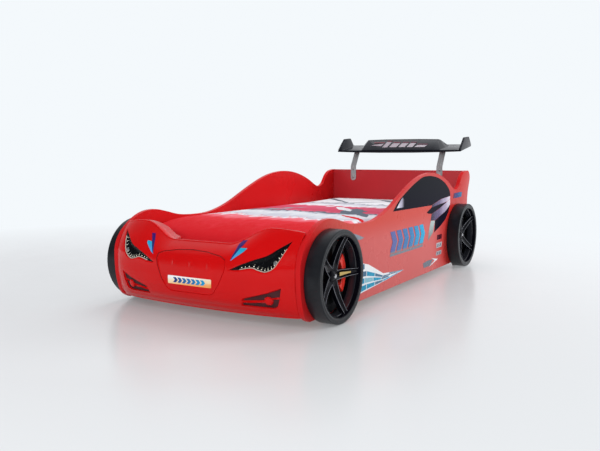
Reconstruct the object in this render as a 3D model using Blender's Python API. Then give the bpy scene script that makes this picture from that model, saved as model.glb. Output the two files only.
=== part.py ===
"""Child's racing-car bed for a 90 x 190 cm mattress.

Metres, +Z up.  The nose points to -Y, +X is the bed's left-hand side as seen by a driver
facing -Y, and the origin is on the floor under the middle of the bed.  Every sub-part is
placed from the front wheels' axle: the empty front_axle stands on the floor under it, and
all heights are above the floor.
"""
import math

import bmesh
import bpy
from mathutils import Vector

# ---------------------------------------------------------------- driving dimensions
WHEELBASE = 1.655
NOSE_Y = -0.2795            # foremost point of the moulded nose, from the front axle
PLATE_PROUD = 0.0025        # front face of the number plate, from the nose
TAIL_Y = 2.0715             # trailing edge of the spoiler, from the front axle
FRONT_AXLE_Y = -(TAIL_Y + NOSE_Y - PLATE_PROUD) / 2     # puts the origin at mid-length

MATTRESS_WIDTH = 0.900
MATTRESS_LENGTH = 1.900
MATTRESS_HEIGHT = 0.158
MATTRESS_FRONT_Y = -0.082

INNER_HALF = 0.4625         # centre plane to the inner face of a side panel
BOARD = 0.022               # side panel thickness
CROSS_BOARD = 0.018         # headboard and footboard thickness
CLEAR = 0.0003              # gap between pieces that touch

WHEEL_RADIUS = 0.190
AXLE_Z = 0.1915             # the wheels are dummies and hang just clear of the floor
TYRE_WIDTH = 0.071
RIM_RADIUS = 0.166
SPOKES = 5
WHEEL_SEGMENTS = 38

SLAT_TOP = 0.2148
SLAT_THICK = 0.0165
SLAT_WIDTH = 0.070
SLAT_COUNT = 10
RAIL_HEIGHT = 0.040
RAIL_WIDTH = 0.030

FOOTBOARD_Y = -0.118        # front face
HEADBOARD_Y = 1.833         # front face
PANEL_BOTTOM = 0.030
HEADBOARD_TOP = 0.577

COVER_THICK = 0.004
SHELL = 0.004               # thickness of the moulded nose

BRACKET_X = 0.307
BRACKET_WIDTH = 0.040
BRACKET_THICK = 0.003

SWITCH_BOX_X = 0.320
SWITCH_BOX_Z = 0.270
ROCKER_TILT = math.radians(8.0)

PANEL_FACE = INNER_HALF + BOARD     # outer face of a side panel

# Side panel, (y from the front axle, height).  Each stretch is a smooth curve.
PANEL_NOSE_TO_NOTCH = [
    (-0.140, 0.030), (-0.178, 0.056), (-0.202, 0.120), (-0.211, 0.205), (-0.205, 0.278),
    (-0.166, 0.339), (-0.100, 0.388), (-0.035, 0.413), (0.035, 0.418), (0.110, 0.404),
    (0.200, 0.383), (0.310, 0.374), (0.430, 0.376), (0.535, 0.394), (0.640, 0.426),
    (0.740, 0.466), (0.860, 0.512), (0.970, 0.548), (1.070, 0.569), (1.175, 0.5775),
    (1.280, 0.571), (1.385, 0.550), (1.480, 0.519), (1.560, 0.483),
]
PANEL_NOTCH_TO_TAIL = [
    (1.605, 0.467), (1.648, 0.471), (1.682, 0.486), (1.705, 0.511), (1.727, 0.536),
    (1.752, 0.555), (1.785, 0.569), (1.835, 0.577), (1.868, 0.576), (1.891, 0.561),
    (1.902, 0.534), (1.893, 0.500), (1.876, 0.466), (1.863, 0.425), (1.857, 0.360),
    (1.857, 0.060), (1.840, 0.030),
]

# Moulded nose: (height, y at the centre, y beside the panels) up to the brow.
NOSE_PROFILE = [
    (0.045, -0.215, -0.165), (0.070, -0.245, -0.185), (0.100, -0.268, -0.196),
    (0.140, -0.278, -0.206), (0.180, NOSE_Y, -0.211), (0.220, -0.278, -0.211),
    (0.250, -0.275, -0.2095), (0.268, -0.270, -0.206),
]
BROW_Z = NOSE_PROFILE[-1][0]
VALLEY_Z = 0.321            # top edge in the middle of the nose
VALLEY_HALF = 0.142
HUMP_X = 0.330
HUMP_Z = 0.389              # top edge above the headlights
NOSE_HALF = INNER_HALF - 0.0005
NOSE_FLANGE = 0.040         # depth of the flange that the top edge turns back into

HEADLIGHT_UPPER = [(0.195, 0.227), (0.250, 0.253), (0.300, 0.272), (0.350, 0.290),
                   (0.388, 0.316), (0.431, 0.3445)]
HEADLIGHT_LOWER = [(0.431, 0.3445), (0.420, 0.316), (0.403, 0.275), (0.382, 0.243),
                   (0.350, 0.227), (0.318, 0.232), (0.290, 0.239), (0.240, 0.230),
                   (0.195, 0.227)]
PLATE_HALF = 0.112
PLATE_Z = (0.148, 0.182)

# Spoiler, half of it: (x, [six points (y, z) round the section]).
WING_SECTIONS = [
    (0.438, [(1.848, 0.697), (1.848, 0.706), (1.934, 0.788), (2.021, 0.795), (2.0715, 0.745), (2.0715, 0.733)]),
    (0.424, [(1.848, 0.697), (1.848, 0.707), (1.934, 0.788), (2.021, 0.795), (2.0715, 0.747), (2.0715, 0.733)]),
    (0.405, [(1.847, 0.696), (1.847, 0.708), (1.940, 0.723), (2.021, 0.739), (2.0715, 0.747), (2.0715, 0.733)]),
    (0.302, [(1.844, 0.693), (1.844, 0.707), (1.944, 0.724), (2.021, 0.739), (2.0715, 0.747), (2.0715, 0.733)]),
    (0.254, [(1.843, 0.692), (1.843, 0.708), (1.956, 0.780), (1.985, 0.779), (2.0715, 0.747), (2.0715, 0.733)]),
    (0.120, [(1.842, 0.690), (1.842, 0.708), (1.956, 0.783), (1.985, 0.782), (2.0715, 0.747), (2.0715, 0.733)]),
]

SIDES = (("right", 1), ("left", -1))      # as seen from in front of the nose: right is +X
AXLES = (("front", 0.0), ("rear", WHEELBASE))


# ---------------------------------------------------------------- scene and materials
def clear_scene():
    for obj in list(bpy.data.objects):
        bpy.data.objects.remove(obj, do_unlink=True)


def material(name, colour, roughness, metallic=0.0):
    mat = bpy.data.materials.new(name)
    mat.use_nodes = True
    shader = mat.node_tree.nodes["Principled BSDF"]
    shader.inputs["Base Color"].default_value = (*colour, 1.0)
    shader.inputs["Roughness"].default_value = roughness
    shader.inputs["Metallic"].default_value = metallic
    mat.diffuse_color = (*colour, 1.0)
    return mat


def make_materials():
    return {
        "lacquer": material("red_lacquer", (0.72, 0.03, 0.02), 0.3),
        "shell": material("red_moulding", (0.75, 0.02, 0.02), 0.12),
        "tyre": material("tyre_plastic", (0.03, 0.03, 0.035), 0.5),
        "rim": material("rim_plastic", (0.01, 0.01, 0.014), 0.15),
        "black": material("black_plastic", (0.02, 0.02, 0.025), 0.4),
        "wood": material("slat_wood", (0.62, 0.45, 0.28), 0.55),
        "steel": material("satin_steel", (0.55, 0.56, 0.57), 0.35, 1.0),
        "lens": material("clear_lens", (0.85, 0.87, 0.9), 0.05),
        "plate": material("plate_print", (0.95, 0.8, 0.6), 0.3),
        "caliper": material("caliper_red", (0.7, 0.02, 0.015), 0.3),
        "foam": material("mattress_cloth", (0.85, 0.85, 0.84), 0.9),
        "cover": material("cover_cloth", (0.75, 0.12, 0.15), 0.9),
    }


# ---------------------------------------------------------------- mesh helpers
def add_object(name, bm, mat, datum, location=(0.0, 0.0, 0.0)):
    """Turn a bmesh into a named object that hangs on the front axle's empty."""
    face_outwards(bm)
    mesh = bpy.data.meshes.new(name)
    bm.to_mesh(mesh)
    bm.free()
    mesh.materials.append(mat)
    mesh.shade_smooth()
    mesh.set_sharp_from_angle(angle=math.radians(35.0))
    obj = bpy.data.objects.new(name, mesh)
    bpy.context.scene.collection.objects.link(obj)
    obj.parent = datum
    obj.location = location
    return obj


def face_outwards(bm):
    bmesh.ops.recalc_face_normals(bm, faces=bm.faces)
    if bm.calc_volume(signed=True) < 0:
        bmesh.ops.reverse_faces(bm, faces=bm.faces)


def smooth_curve(points, steps):
    """Catmull-Rom curve through the points, open, with its ends at the first and last."""
    out = []
    last = len(points) - 1
    for i in range(last):
        p0, p1, p2, p3 = (Vector(points[max(0, min(last, i + k))]) for k in (-1, 0, 1, 2))
        for k in range(steps):
            t = k / steps
            blend = (2 * p1 + (p2 - p0) * t + (2 * p0 - 5 * p1 + 4 * p2 - p3) * t ** 2
                     + (3 * p1 - p0 - 3 * p2 + p3) * t ** 3)
            out.append(tuple(blend * 0.5))
    out.append(tuple(points[-1]))
    return out


def arc(centre, radius, start_deg, end_deg, steps):
    """Points along an arc, both ends included."""
    angles = [math.radians(start_deg + (end_deg - start_deg) * k / steps) for k in range(steps + 1)]
    return [(centre[0] + radius * math.cos(a), centre[1] + radius * math.sin(a)) for a in angles]


def prism(outline, place, near, far):
    """Extrude an outline of (u, v) points; place(u, v, w) gives the point at depth w."""
    bm = bmesh.new()
    bottom = bm.faces.new([bm.verts.new(place(u, v, near)) for u, v in outline])
    grown = bmesh.ops.extrude_face_region(bm, geom=[bottom])
    top = [g for g in grown["geom"] if isinstance(g, bmesh.types.BMVert)]
    shift = Vector(place(0, 0, far)) - Vector(place(0, 0, near))
    bmesh.ops.translate(bm, verts=top, vec=shift)
    bmesh.ops.triangulate(bm, faces=[f for f in bm.faces if len(f.verts) > 4])
    return bm


def along_x(u, v, w):
    return (w, u, v)


def along_y(u, v, w):
    return (u, w, v)


def along_z(u, v, w):
    return (u, v, w)


def block(low, high):
    bm = bmesh.new()
    bmesh.ops.create_cube(bm, size=1.0)
    size = [high[i] - low[i] for i in range(3)]
    middle = [(high[i] + low[i]) / 2 for i in range(3)]
    bmesh.ops.scale(bm, vec=size, verts=bm.verts)
    bmesh.ops.translate(bm, vec=middle, verts=bm.verts)
    return bm


def turned(profile, segments, closed):
    """Spin a profile of (radius, x) points about the X axis."""
    bm = bmesh.new()
    verts = [bm.verts.new((x, r, 0.0)) for r, x in profile]
    pairs = list(zip(verts, verts[1:]))
    if closed:
        pairs.append((verts[-1], verts[0]))
    edges = [bm.edges.new(pair) for pair in pairs]
    bmesh.ops.spin(bm, geom=verts + edges, cent=(0, 0, 0), axis=(1, 0, 0), dvec=(0, 0, 0),
                   angle=math.tau, steps=segments, use_merge=True, use_duplicate=False)
    bmesh.ops.remove_doubles(bm, verts=bm.verts, dist=1e-6)
    return bm


def ring_stack(rings):
    """Close a stack of point rings, all with the same count, into one solid."""
    bm = bmesh.new()
    loops = [[bm.verts.new(p) for p in ring] for ring in rings]
    count = len(loops[0])
    for low, high in zip(loops, loops[1:]):
        for i in range(count):
            j = (i + 1) % count
            bm.faces.new((low[i], low[j], high[j], high[i]))
    bm.faces.new(loops[0][::-1])
    bm.faces.new(loops[-1])
    return bm


def mirrored(points):
    return [(-x, *rest) for x, *rest in points]


def cut(obj, cutter):
    """Take the cutter's shape out of the object."""
    cutter.hide_render = True
    cutter.display_type = "WIRE"
    boolean = obj.modifiers.new("cut", "BOOLEAN")
    boolean.operation = "DIFFERENCE"
    boolean.solver = "EXACT"
    boolean.object = cutter


# ---------------------------------------------------------------- side panels and boards
def panel_outline():
    return smooth_curve(PANEL_NOSE_TO_NOTCH, 4) + smooth_curve(PANEL_NOTCH_TO_TAIL, 3)


def make_side_panels(mats, datum):
    for side, sign in SIDES:
        bm = prism(panel_outline(), along_x, sign * INNER_HALF, sign * PANEL_FACE)
        add_object(f"side_panel_{side}", bm, mats["lacquer"], datum)


def lead_hole(datum, name, x, z, near, far):
    """A cutter for the hole that the lighting lead passes through."""
    bm = prism(arc((x, z), 0.006, 0, 330, 11), along_y, near, far)
    return add_object(name, bm, bpy.data.materials["black_plastic"], datum)


def make_cross_boards(mats, datum):
    half = INNER_HALF - CLEAR
    back = HEADBOARD_Y + CROSS_BOARD
    head = add_object("headboard", block((-half, HEADBOARD_Y, 0.060), (half, back, HEADBOARD_TOP)),
                      mats["lacquer"], datum)
    cut(head, lead_hole(datum, "headboard_hole", *LEAD_HOLE_HEAD, HEADBOARD_Y - 0.01, back + 0.01))
    rear = FOOTBOARD_Y + CROSS_BOARD
    foot = add_object("footboard", block((-half, FOOTBOARD_Y, 0.060), (half, rear, 0.300)),
                      mats["lacquer"], datum)
    cut(foot, lead_hole(datum, "footboard_hole", *LEAD_HOLE_FOOT, FOOTBOARD_Y - 0.01, rear + 0.01))


# ---------------------------------------------------------------- slatted base
def make_base(mats, datum):
    rail_top = SLAT_TOP - SLAT_THICK - CLEAR
    rail_low = rail_top - RAIL_HEIGHT
    start = FOOTBOARD_Y + CROSS_BOARD + CLEAR
    end = HEADBOARD_Y - CLEAR
    for side, sign in SIDES:
        xs = sorted((sign * (INNER_HALF - CLEAR - RAIL_WIDTH), sign * (INNER_HALF - CLEAR)))
        add_object(f"slat_rail_{side}", block((xs[0], start, rail_low), (xs[1], end, rail_top)),
                   mats["wood"], datum)
    add_object("centre_rail", block((-0.020, start, rail_low), (0.020, end, rail_top)),
               mats["wood"], datum)
    for where, y in (("front", 0.45), ("rear", 1.30)):
        bm = prism(arc((0, y), 0.020, 0, 345, 23), along_z, 0.0, rail_low - CLEAR)
        add_object(f"centre_leg_{where}", bm, mats["black"], datum)
    pitch = (end - start) / SLAT_COUNT
    for i in range(SLAT_COUNT):
        y = start + pitch * (i + 0.5)
        half = INNER_HALF - 0.0015
        bm = block((-half, y - SLAT_WIDTH / 2, SLAT_TOP - SLAT_THICK), (half, y + SLAT_WIDTH / 2, SLAT_TOP))
        add_object(f"slat_{i + 1:02d}", bm, mats["wood"], datum)


def make_feet(mats, datum):
    for where, y in AXLES:
        for side, sign in SIDES:
            x = sign * (INNER_HALF + BOARD / 2)
            bm = ring_stack([
                [(px, py, z) for px, py in arc((x, y), r, 0, 340, 17)]
                for z, r in ((0.0, 0.0085), (0.002, 0.0105), (PANEL_BOTTOM - CLEAR, 0.0105))
            ])
            add_object(f"foot_{where}_{side}", bm, mats["black"], datum)


def make_corner_brackets(mats, datum):
    """Four steel angles that tie the cross boards to the side panels."""
    leg = 0.045
    thick = 0.0025
    corners = (("front", FOOTBOARD_Y + CROSS_BOARD + CLEAR, 1), ("rear", HEADBOARD_Y - CLEAR, -1))
    for where, y, way in corners:
        for side, sign in SIDES:
            x = sign * (INNER_HALF - CLEAR)
            outline = [(x, y), (x - sign * leg, y), (x - sign * leg, y + way * thick),
                       (x - sign * thick, y + way * thick), (x - sign * thick, y + way * leg),
                       (x, y + way * leg)]
            bm = prism(outline, along_z, 0.085, 0.125)
            add_object(f"corner_bracket_{where}_{side}", bm, mats["steel"], datum)


# ---------------------------------------------------------------- moulded nose
def ease(t):
    t = max(0.0, min(1.0, t))
    return t * t * (3 - 2 * t)


def lerp(a, b, t):
    return a + (b - a) * t


def nose_top(x):
    """Height of the nose's top edge: a valley in the middle and a hump over each light."""
    x = abs(x)
    if x < HUMP_X:
        return lerp(VALLEY_Z, HUMP_Z, ease((x - VALLEY_HALF) / (HUMP_X - VALLEY_HALF)))
    return HUMP_Z - 0.013 * ((x - HUMP_X) / (INNER_HALF - HUMP_X)) ** 2


def nose_top_y(x):
    x = abs(x)
    return (lerp(-0.187, -0.163, ease((x - VALLEY_HALF) / (HUMP_X - VALLEY_HALF)))
            + 0.025 * (x / INNER_HALF) ** 8)


def nose_side_share(x):
    """0 at the centre of the nose, 1 beside the side panels."""
    share = abs(x) / INNER_HALF
    return 0.8 * share ** 2.2 + 0.2 * share ** 14


def nose_face(x, z):
    """y of the nose's front face at a place on it, from the front axle."""
    share = nose_side_share(x)
    if z <= BROW_Z:
        z = max(z, NOSE_PROFILE[0][0])
        for low, high in zip(NOSE_PROFILE, NOSE_PROFILE[1:]):
            if z <= high[0]:
                t = (z - low[0]) / (high[0] - low[0])
                return lerp(lerp(low[1], high[1], t), lerp(low[2], high[2], t), share)
    brow = lerp(NOSE_PROFILE[-1][1], NOSE_PROFILE[-1][2], share)
    t = (z - BROW_Z) / (nose_top(x) - BROW_Z)
    return lerp(brow, nose_top_y(x), 0.55 * t + 0.45 * t * t)


def nose_section(x):
    """Outer and inner points of the shell's section at x, bottom lip first."""
    heights = [row[0] for row in NOSE_PROFILE]
    top = nose_top(x)
    heights += [lerp(BROW_Z, top, t) for t in (0.35, 0.7, 1.0)]
    face = [(nose_face(x, z), z) for z in heights]
    lip = (face[0][0] + 0.025, face[0][1])
    flange = (face[-1][0] + NOSE_FLANGE, top - 0.004)
    outer = [lip] + face + [flange]
    inner = [(lip[0], lip[1] + SHELL)]
    inner += [(y + SHELL, z + SHELL) if k == 0 else (y + SHELL, z) for k, (y, z) in enumerate(face[:-1])]
    inner += [(face[-1][0] + SHELL, top - SHELL), (flange[0], flange[1] - SHELL)]
    return outer, inner


def nose_stations():
    """x of the shell's sections, closer together towards the panels."""
    count = 22
    return [NOSE_HALF * math.sin(math.pi / 2 * (2 * k / count - 1)) for k in range(count + 1)]


def make_nose(mats, datum):
    rings = []
    for x in nose_stations():
        outer, inner = nose_section(x)
        rings.append([(x, y, z) for y, z in outer + inner[::-1]])
    shell = add_object("front_fascia", ring_stack(rings), mats["shell"], datum)
    for side, sign in SIDES:
        grown = headlight_outline(0.0008)
        outline = grown if sign > 0 else mirrored(grown)
        bm = prism(outline, along_y, -0.32, -0.12)
        cut(shell, add_object(f"headlight_hole_{side}", bm, mats["black"], datum))


def headlight_outline(grow=0.0):
    """Closed outline of a headlight on the +X side, grown outwards by a clearance."""
    upper = smooth_curve(HEADLIGHT_UPPER, 2)
    lower = smooth_curve(HEADLIGHT_LOWER, 2)
    points = [Vector(p) for p in upper[:-1] + lower[:-1]]
    out = []
    for k, p in enumerate(points):
        before = (p - points[k - 1]).normalized()
        after = (points[(k + 1) % len(points)] - p).normalized()
        sideways = Vector((-after.y, after.x))
        mitre = (Vector((-before.y, before.x)) + sideways).normalized()
        out.append(tuple(p + mitre * grow / max(mitre.dot(sideways), 0.25)))
    return out


def on_nose(outline, front, back):
    """Solid with the given outline that follows the nose between two depths behind it."""
    bm = bmesh.new()
    bm.faces.new([bm.verts.new((x, 0.0, z)) for x, z in outline])
    low = min(p[0] for p in outline)
    high = max(p[0] for p in outline)
    for x in nose_stations():
        if low + 0.002 < x < high - 0.002:
            geom = bm.verts[:] + bm.edges[:] + bm.faces[:]
            bmesh.ops.bisect_plane(bm, geom=geom, plane_co=(x, 0, 0), plane_no=(1, 0, 0), dist=1e-6)
    bmesh.ops.triangulate(bm, faces=[f for f in bm.faces if len(f.verts) > 4])
    grown = bmesh.ops.extrude_face_region(bm, geom=bm.faces[:])
    rear = {g for g in grown["geom"] if isinstance(g, bmesh.types.BMVert)}
    for v in bm.verts:
        v.co.y = nose_face(v.co.x, v.co.z) + (back if v in rear else front)
    return bm


def make_nose_fittings(mats, datum):
    plate = [(-PLATE_HALF, PLATE_Z[0]), (PLATE_HALF, PLATE_Z[0]),
             (PLATE_HALF, PLATE_Z[1]), (-PLATE_HALF, PLATE_Z[1])]
    add_object("number_plate", on_nose(plate, -PLATE_PROUD, -0.0008), mats["plate"], datum)
    for side, sign in SIDES:
        light = headlight_outline() if sign > 0 else mirrored(headlight_outline())
        add_object(f"headlight_housing_{side}", on_nose(light, 0.0035, 0.014), mats["black"], datum)
        add_object(f"headlight_lens_{side}", on_nose(light, -0.0005, 0.0030), mats["lens"], datum)


# ---------------------------------------------------------------- wheels
def tyre_profile():
    width = TYRE_WIDTH
    r = WHEEL_RADIUS
    return [(RIM_RADIUS + CLEAR, CLEAR), (r - 0.004, CLEAR), (r, 0.005), (r, width - 0.012),
            (r - 0.003, width - 0.004), (r - 0.010, width), (RIM_RADIUS + CLEAR, width)]


def rim_profile():
    front = [(0.0, 0.034), (0.026, 0.034), (0.105, 0.043), (RIM_RADIUS - 0.012, 0.057),
             (RIM_RADIUS - 0.007, 0.0685), (RIM_RADIUS, 0.0695)]
    back = [(RIM_RADIUS, 0.044), (0.105, 0.033), (0.026, 0.024), (0.0, 0.024)]
    return front + back


def window_outline(middle_deg):
    """Opening between two spokes: straight along the spokes, round along the rim."""
    inner = 0.046
    outer = RIM_RADIUS - 0.018
    half_spoke = 0.0125
    half_angle = 180.0 / SPOKES
    outer_half = half_angle - math.degrees(math.asin(half_spoke / outer))
    inner_half = half_angle - math.degrees(math.asin(half_spoke / inner))
    rim_side = arc((0, 0), outer, middle_deg - outer_half, middle_deg + outer_half, 6)
    hub_side = arc((0, 0), inner, middle_deg + inner_half, middle_deg - inner_half, 2)
    return rim_side + hub_side


def make_rim_cutter(mats, datum, name, place, turn_deg):
    bm = bmesh.new()
    for k in range(SPOKES):
        window = prism(window_outline(turn_deg + 360.0 / SPOKES * (k + 0.5)), along_x, -0.10, 0.10)
        part = bpy.data.meshes.new("window")
        face_outwards(window)
        window.to_mesh(part)
        window.free()
        bm.from_mesh(part)
    return add_object(name, bm, mats["black"], datum, place)


def turn_to_side(bm, sign):
    """A wheel's outer face looks along +X; the other side's is its mirror image."""
    if sign < 0:
        for v in bm.verts:
            v.co.x = -v.co.x
    return bm


def make_wheels(mats, datum):
    for where, axle_y in AXLES:
        for side, sign in SIDES:
            place = (sign * PANEL_FACE, axle_y, AXLE_Z)
            tag = f"{where}_{side}"
            tyre = turn_to_side(turned(tyre_profile(), WHEEL_SEGMENTS, True), sign)
            add_object(f"tyre_{tag}", tyre, mats["tyre"], datum, place)
            rim = add_object(f"rim_{tag}", turn_to_side(turned(rim_profile(), WHEEL_SEGMENTS, False), sign),
                             mats["rim"], datum, place)
            turn = 0.0 if where == "front" else 180.0
            centre = (sign * PANEL_FACE, axle_y, AXLE_Z)
            cut(rim, make_rim_cutter(mats, datum, f"rim_windows_{tag}", centre, turn))
            disc = [(0.0, 0.006), (0.156, 0.006), (0.156, CLEAR), (0.0, CLEAR)]
            add_object(f"wheel_disc_{tag}", turn_to_side(turned(disc, WHEEL_SEGMENTS, False), sign),
                       mats["black"], datum, place)
            cap = [(0.0, 0.043), (0.006, 0.0425), (0.0105, 0.040), (0.012, 0.0343), (0.0, 0.0343)]
            add_object(f"hub_cap_{tag}", turn_to_side(turned(cap, 20, False), sign),
                       mats["steel"], datum, place)


def make_calipers(mats, datum):
    """A brake caliper behind the spokes of each front wheel, on its rear side."""
    outline = arc((0, 0), 0.122, -42, 42, 8) + arc((0, 0), 0.078, 38, -38, 8)
    for side, sign in SIDES:
        near = sign * (PANEL_FACE + 0.0063)
        far = sign * (PANEL_FACE + 0.0240)
        bm = prism(outline, along_x, near, far)
        add_object(f"brake_caliper_{side}", bm, mats["caliper"], datum, (0, 0, AXLE_Z))


# ---------------------------------------------------------------- spoiler
def make_spoiler(mats, datum):
    sections = [(x, pts) for x, pts in WING_SECTIONS]
    sections += [(-x, pts) for x, pts in reversed(WING_SECTIONS)]
    rings = [[(x, y, z) for y, z in pts] for x, pts in sections]
    add_object("spoiler_wing", ring_stack(rings), mats["black"], datum)


def wing_underside(y):
    low, high = (1.844, 0.693), (TAIL_Y, 0.733)
    return lerp(low[1], high[1], (y - low[0]) / (high[0] - low[0]))


def bracket_route():
    """Front and rear points of the bent strip, bottom to top, each with its half-width.

    The front face of the lower leg runs on into the top face of the tab under the wing.
    """
    face = HEADBOARD_Y - CLEAR
    thick = BRACKET_THICK
    radius = BRACKET_WIDTH / 2
    low = 0.503
    stations = []
    for angle in (20, 35, 50, 70, 90):
        a = math.radians(angle)
        z = low + radius * (1 - math.cos(a))
        stations.append(((face - thick, z), (face, z), radius * math.sin(a)))
    stations.append(((face - thick, 0.6015), (face, 0.600), radius))
    drop = 0.0012
    for y, lean in ((1.890, 0.0015), (1.932, 0.0)):
        top = wing_underside(y) - drop
        stations.append(((y - lean, top - lean * 0.2), (y, top - thick), radius))
    return stations


def make_spoiler_brackets(mats, datum):
    """Flat steel strips: screwed to the headboard, cranked back, then flat under the wing."""
    for side, sign in SIDES:
        middle = sign * BRACKET_X
        rings = [
            [(middle - half, *front), (middle + half, *front), (middle + half, *back), (middle - half, *back)]
            for front, back, half in bracket_route()
        ]
        add_object(f"spoiler_bracket_{side}", ring_stack(rings), mats["steel"], datum)


# ---------------------------------------------------------------- bedding
def bed_ring(inset, z, grow):
    """Ring of points round the mattress at a height, with rounded corners."""
    radius = 0.050
    half_x = MATTRESS_WIDTH / 2 - inset + grow
    low_y = MATTRESS_FRONT_Y + inset - grow
    high_y = MATTRESS_FRONT_Y + MATTRESS_LENGTH - inset + grow
    corner = max(radius - inset + grow, 0.012)
    ring = []
    corners = ((half_x - corner, high_y - corner, 0), (-half_x + corner, high_y - corner, 90),
               (-half_x + corner, low_y + corner, 180), (half_x - corner, low_y + corner, 270))
    for cx, cy, start in corners:
        ring += [(x, y, z) for x, y in arc((cx, cy), corner, start, start + 90, 5)]
    return ring


BED_TOP = SLAT_TOP + CLEAR + MATTRESS_HEIGHT
BED_SHOULDER = [(0.0, 0.052), (0.004, 0.030), (0.016, 0.012), (0.034, 0.003), (0.075, 0.0)]  # inset, drop


def make_bedding(mats, datum):
    base = SLAT_TOP + CLEAR
    rings = [bed_ring(0.010, base, 0), bed_ring(0.0, base + 0.010, 0)]
    rings += [bed_ring(inset, BED_TOP - drop, 0) for inset, drop in BED_SHOULDER]
    add_object("mattress", ring_stack(rings), mats["foam"], datum)
    gap = 0.0006
    hem = base + 0.028
    outer = [bed_ring(0.0, hem, gap + COVER_THICK)]
    outer += [bed_ring(inset, BED_TOP - drop + gap + COVER_THICK, gap + COVER_THICK)
              for inset, drop in BED_SHOULDER]
    inner = [bed_ring(0.0, hem, gap)]
    inner += [bed_ring(inset, BED_TOP - drop + gap, gap) for inset, drop in BED_SHOULDER]
    add_object("bed_cover", open_shell(outer, inner), mats["cover"], datum)


def open_shell(outer, inner):
    """Shell between two stacks of rings, closed at the top and open at the bottom."""
    bm = bmesh.new()
    skins = [[[bm.verts.new(p) for p in ring] for ring in stack] for stack in (outer, inner)]
    count = len(outer[0])
    for loops in skins:
        for low, high in zip(loops, loops[1:]):
            for i in range(count):
                j = (i + 1) % count
                bm.faces.new((low[i], low[j], high[j], high[i]))
        bm.faces.new(loops[-1])
    for i in range(count):
        j = (i + 1) % count
        bm.faces.new((skins[0][0][i], skins[0][0][j], skins[1][0][j], skins[1][0][i]))
    return bm


# ---------------------------------------------------------------- lighting
LEAD_HOLE_HEAD = (0.400, 0.140)
LEAD_HOLE_FOOT = (0.400, 0.140)
LEAD_RADIUS = 0.0025


def make_switch(mats, datum):
    """Control box on the headboard's rear face, with a rocker switch in it."""
    back = HEADBOARD_Y + CROSS_BOARD + CLEAR
    depth = 0.030
    half_x, half_z = 0.050, 0.030
    low = (SWITCH_BOX_X - half_x, back, SWITCH_BOX_Z - half_z)
    high = (SWITCH_BOX_X + half_x, back + depth, SWITCH_BOX_Z + half_z)
    box = add_object("light_control_box", block(low, high), mats["black"], datum)
    pocket = block((SWITCH_BOX_X - 0.0075, back + depth - 0.012, SWITCH_BOX_Z - 0.0115),
                   (SWITCH_BOX_X + 0.0075, back + depth + 0.010, SWITCH_BOX_Z + 0.0115))
    cut(box, add_object("switch_pocket", pocket, mats["black"], datum))
    outline = [(-0.0105, -0.0040), (0.0105, -0.0040), (0.0105, 0.0022), (0.0, 0.0008), (-0.0105, 0.0022)]
    rocker = prism([(y, z) for z, y in outline], along_x, -0.0068, 0.0068)
    obj = add_object("rocker_switch", rocker, mats["black"], datum,
                     (SWITCH_BOX_X, back + depth - 0.0005, SWITCH_BOX_Z))
    obj.rotation_euler = (ROCKER_TILT, 0, 0)


def lead_route():
    """Lighting lead: control box, headboard, right rail, footboard, both headlights."""
    back = HEADBOARD_Y + CROSS_BOARD
    hx, hz = LEAD_HOLE_HEAD
    fx, fz = LEAD_HOLE_FOOT
    rail_x = INNER_HALF - 0.012
    return [
        (SWITCH_BOX_X, back + 0.015, SWITCH_BOX_Z - 0.0306), (SWITCH_BOX_X + 0.004, back + 0.015, 0.195),
        (hx - 0.030, back + 0.018, 0.150), (hx, back + 0.012, hz), (hx, back - 0.009, hz),
        (hx + 0.012, HEADBOARD_Y - 0.030, hz - 0.002), (rail_x, HEADBOARD_Y - 0.090, hz),
        (rail_x, 1.40, hz), (rail_x, 0.93, hz), (rail_x, 0.46, hz), (rail_x, 0.02, fz),
        (fx + 0.012, FOOTBOARD_Y + CROSS_BOARD + 0.025, fz), (fx, FOOTBOARD_Y + 0.009, fz),
        (fx, FOOTBOARD_Y - 0.010, fz + 0.004), (0.385, FOOTBOARD_Y - 0.022, 0.170),
        (0.365, -0.175, 0.225), (0.345, -0.2215, 0.250), (0.330, -0.196, 0.262), (0.318, -0.140, 0.255),
        (0.285, -0.1235, 0.245), (0.150, -0.1225, 0.245), (0.0, -0.1225, 0.245), (-0.150, -0.1225, 0.245),
        (-0.285, -0.1235, 0.245), (-0.318, -0.140, 0.255), (-0.330, -0.196, 0.262), (-0.345, -0.2215, 0.250),
    ]


def make_lead(mats, datum):
    points = smooth_curve(lead_route(), 2)
    curve = bpy.data.curves.new("headlight_lead", "CURVE")
    curve.dimensions = "3D"
    curve.bevel_depth = LEAD_RADIUS
    curve.bevel_resolution = 2
    curve.use_fill_caps = True
    curve.resolution_u = 1
    curve.render_resolution_u = 0
    spline = curve.splines.new("POLY")
    spline.points.add(len(points) - 1)
    for slot, (x, y, z) in zip(spline.points, points):
        slot.co = (x, y, z, 1.0)
    curve.materials.append(mats["black"])
    obj = bpy.data.objects.new("headlight_lead", curve)
    bpy.context.scene.collection.objects.link(obj)
    obj.parent = datum


# ---------------------------------------------------------------- the bed
def main():
    clear_scene()
    mats = make_materials()
    datum = bpy.data.objects.new("front_axle", None)
    datum.location = (0.0, FRONT_AXLE_Y, 0.0)
    bpy.context.scene.collection.objects.link(datum)
    make_side_panels(mats, datum)
    make_cross_boards(mats, datum)
    make_base(mats, datum)
    make_feet(mats, datum)
    make_corner_brackets(mats, datum)
    make_nose(mats, datum)
    make_nose_fittings(mats, datum)
    make_wheels(mats, datum)
    make_calipers(mats, datum)
    make_spoiler(mats, datum)
    make_spoiler_brackets(mats, datum)
    make_bedding(mats, datum)
    make_switch(mats, datum)
    make_lead(mats, datum)
    bpy.context.view_layer.update()


main()
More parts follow.
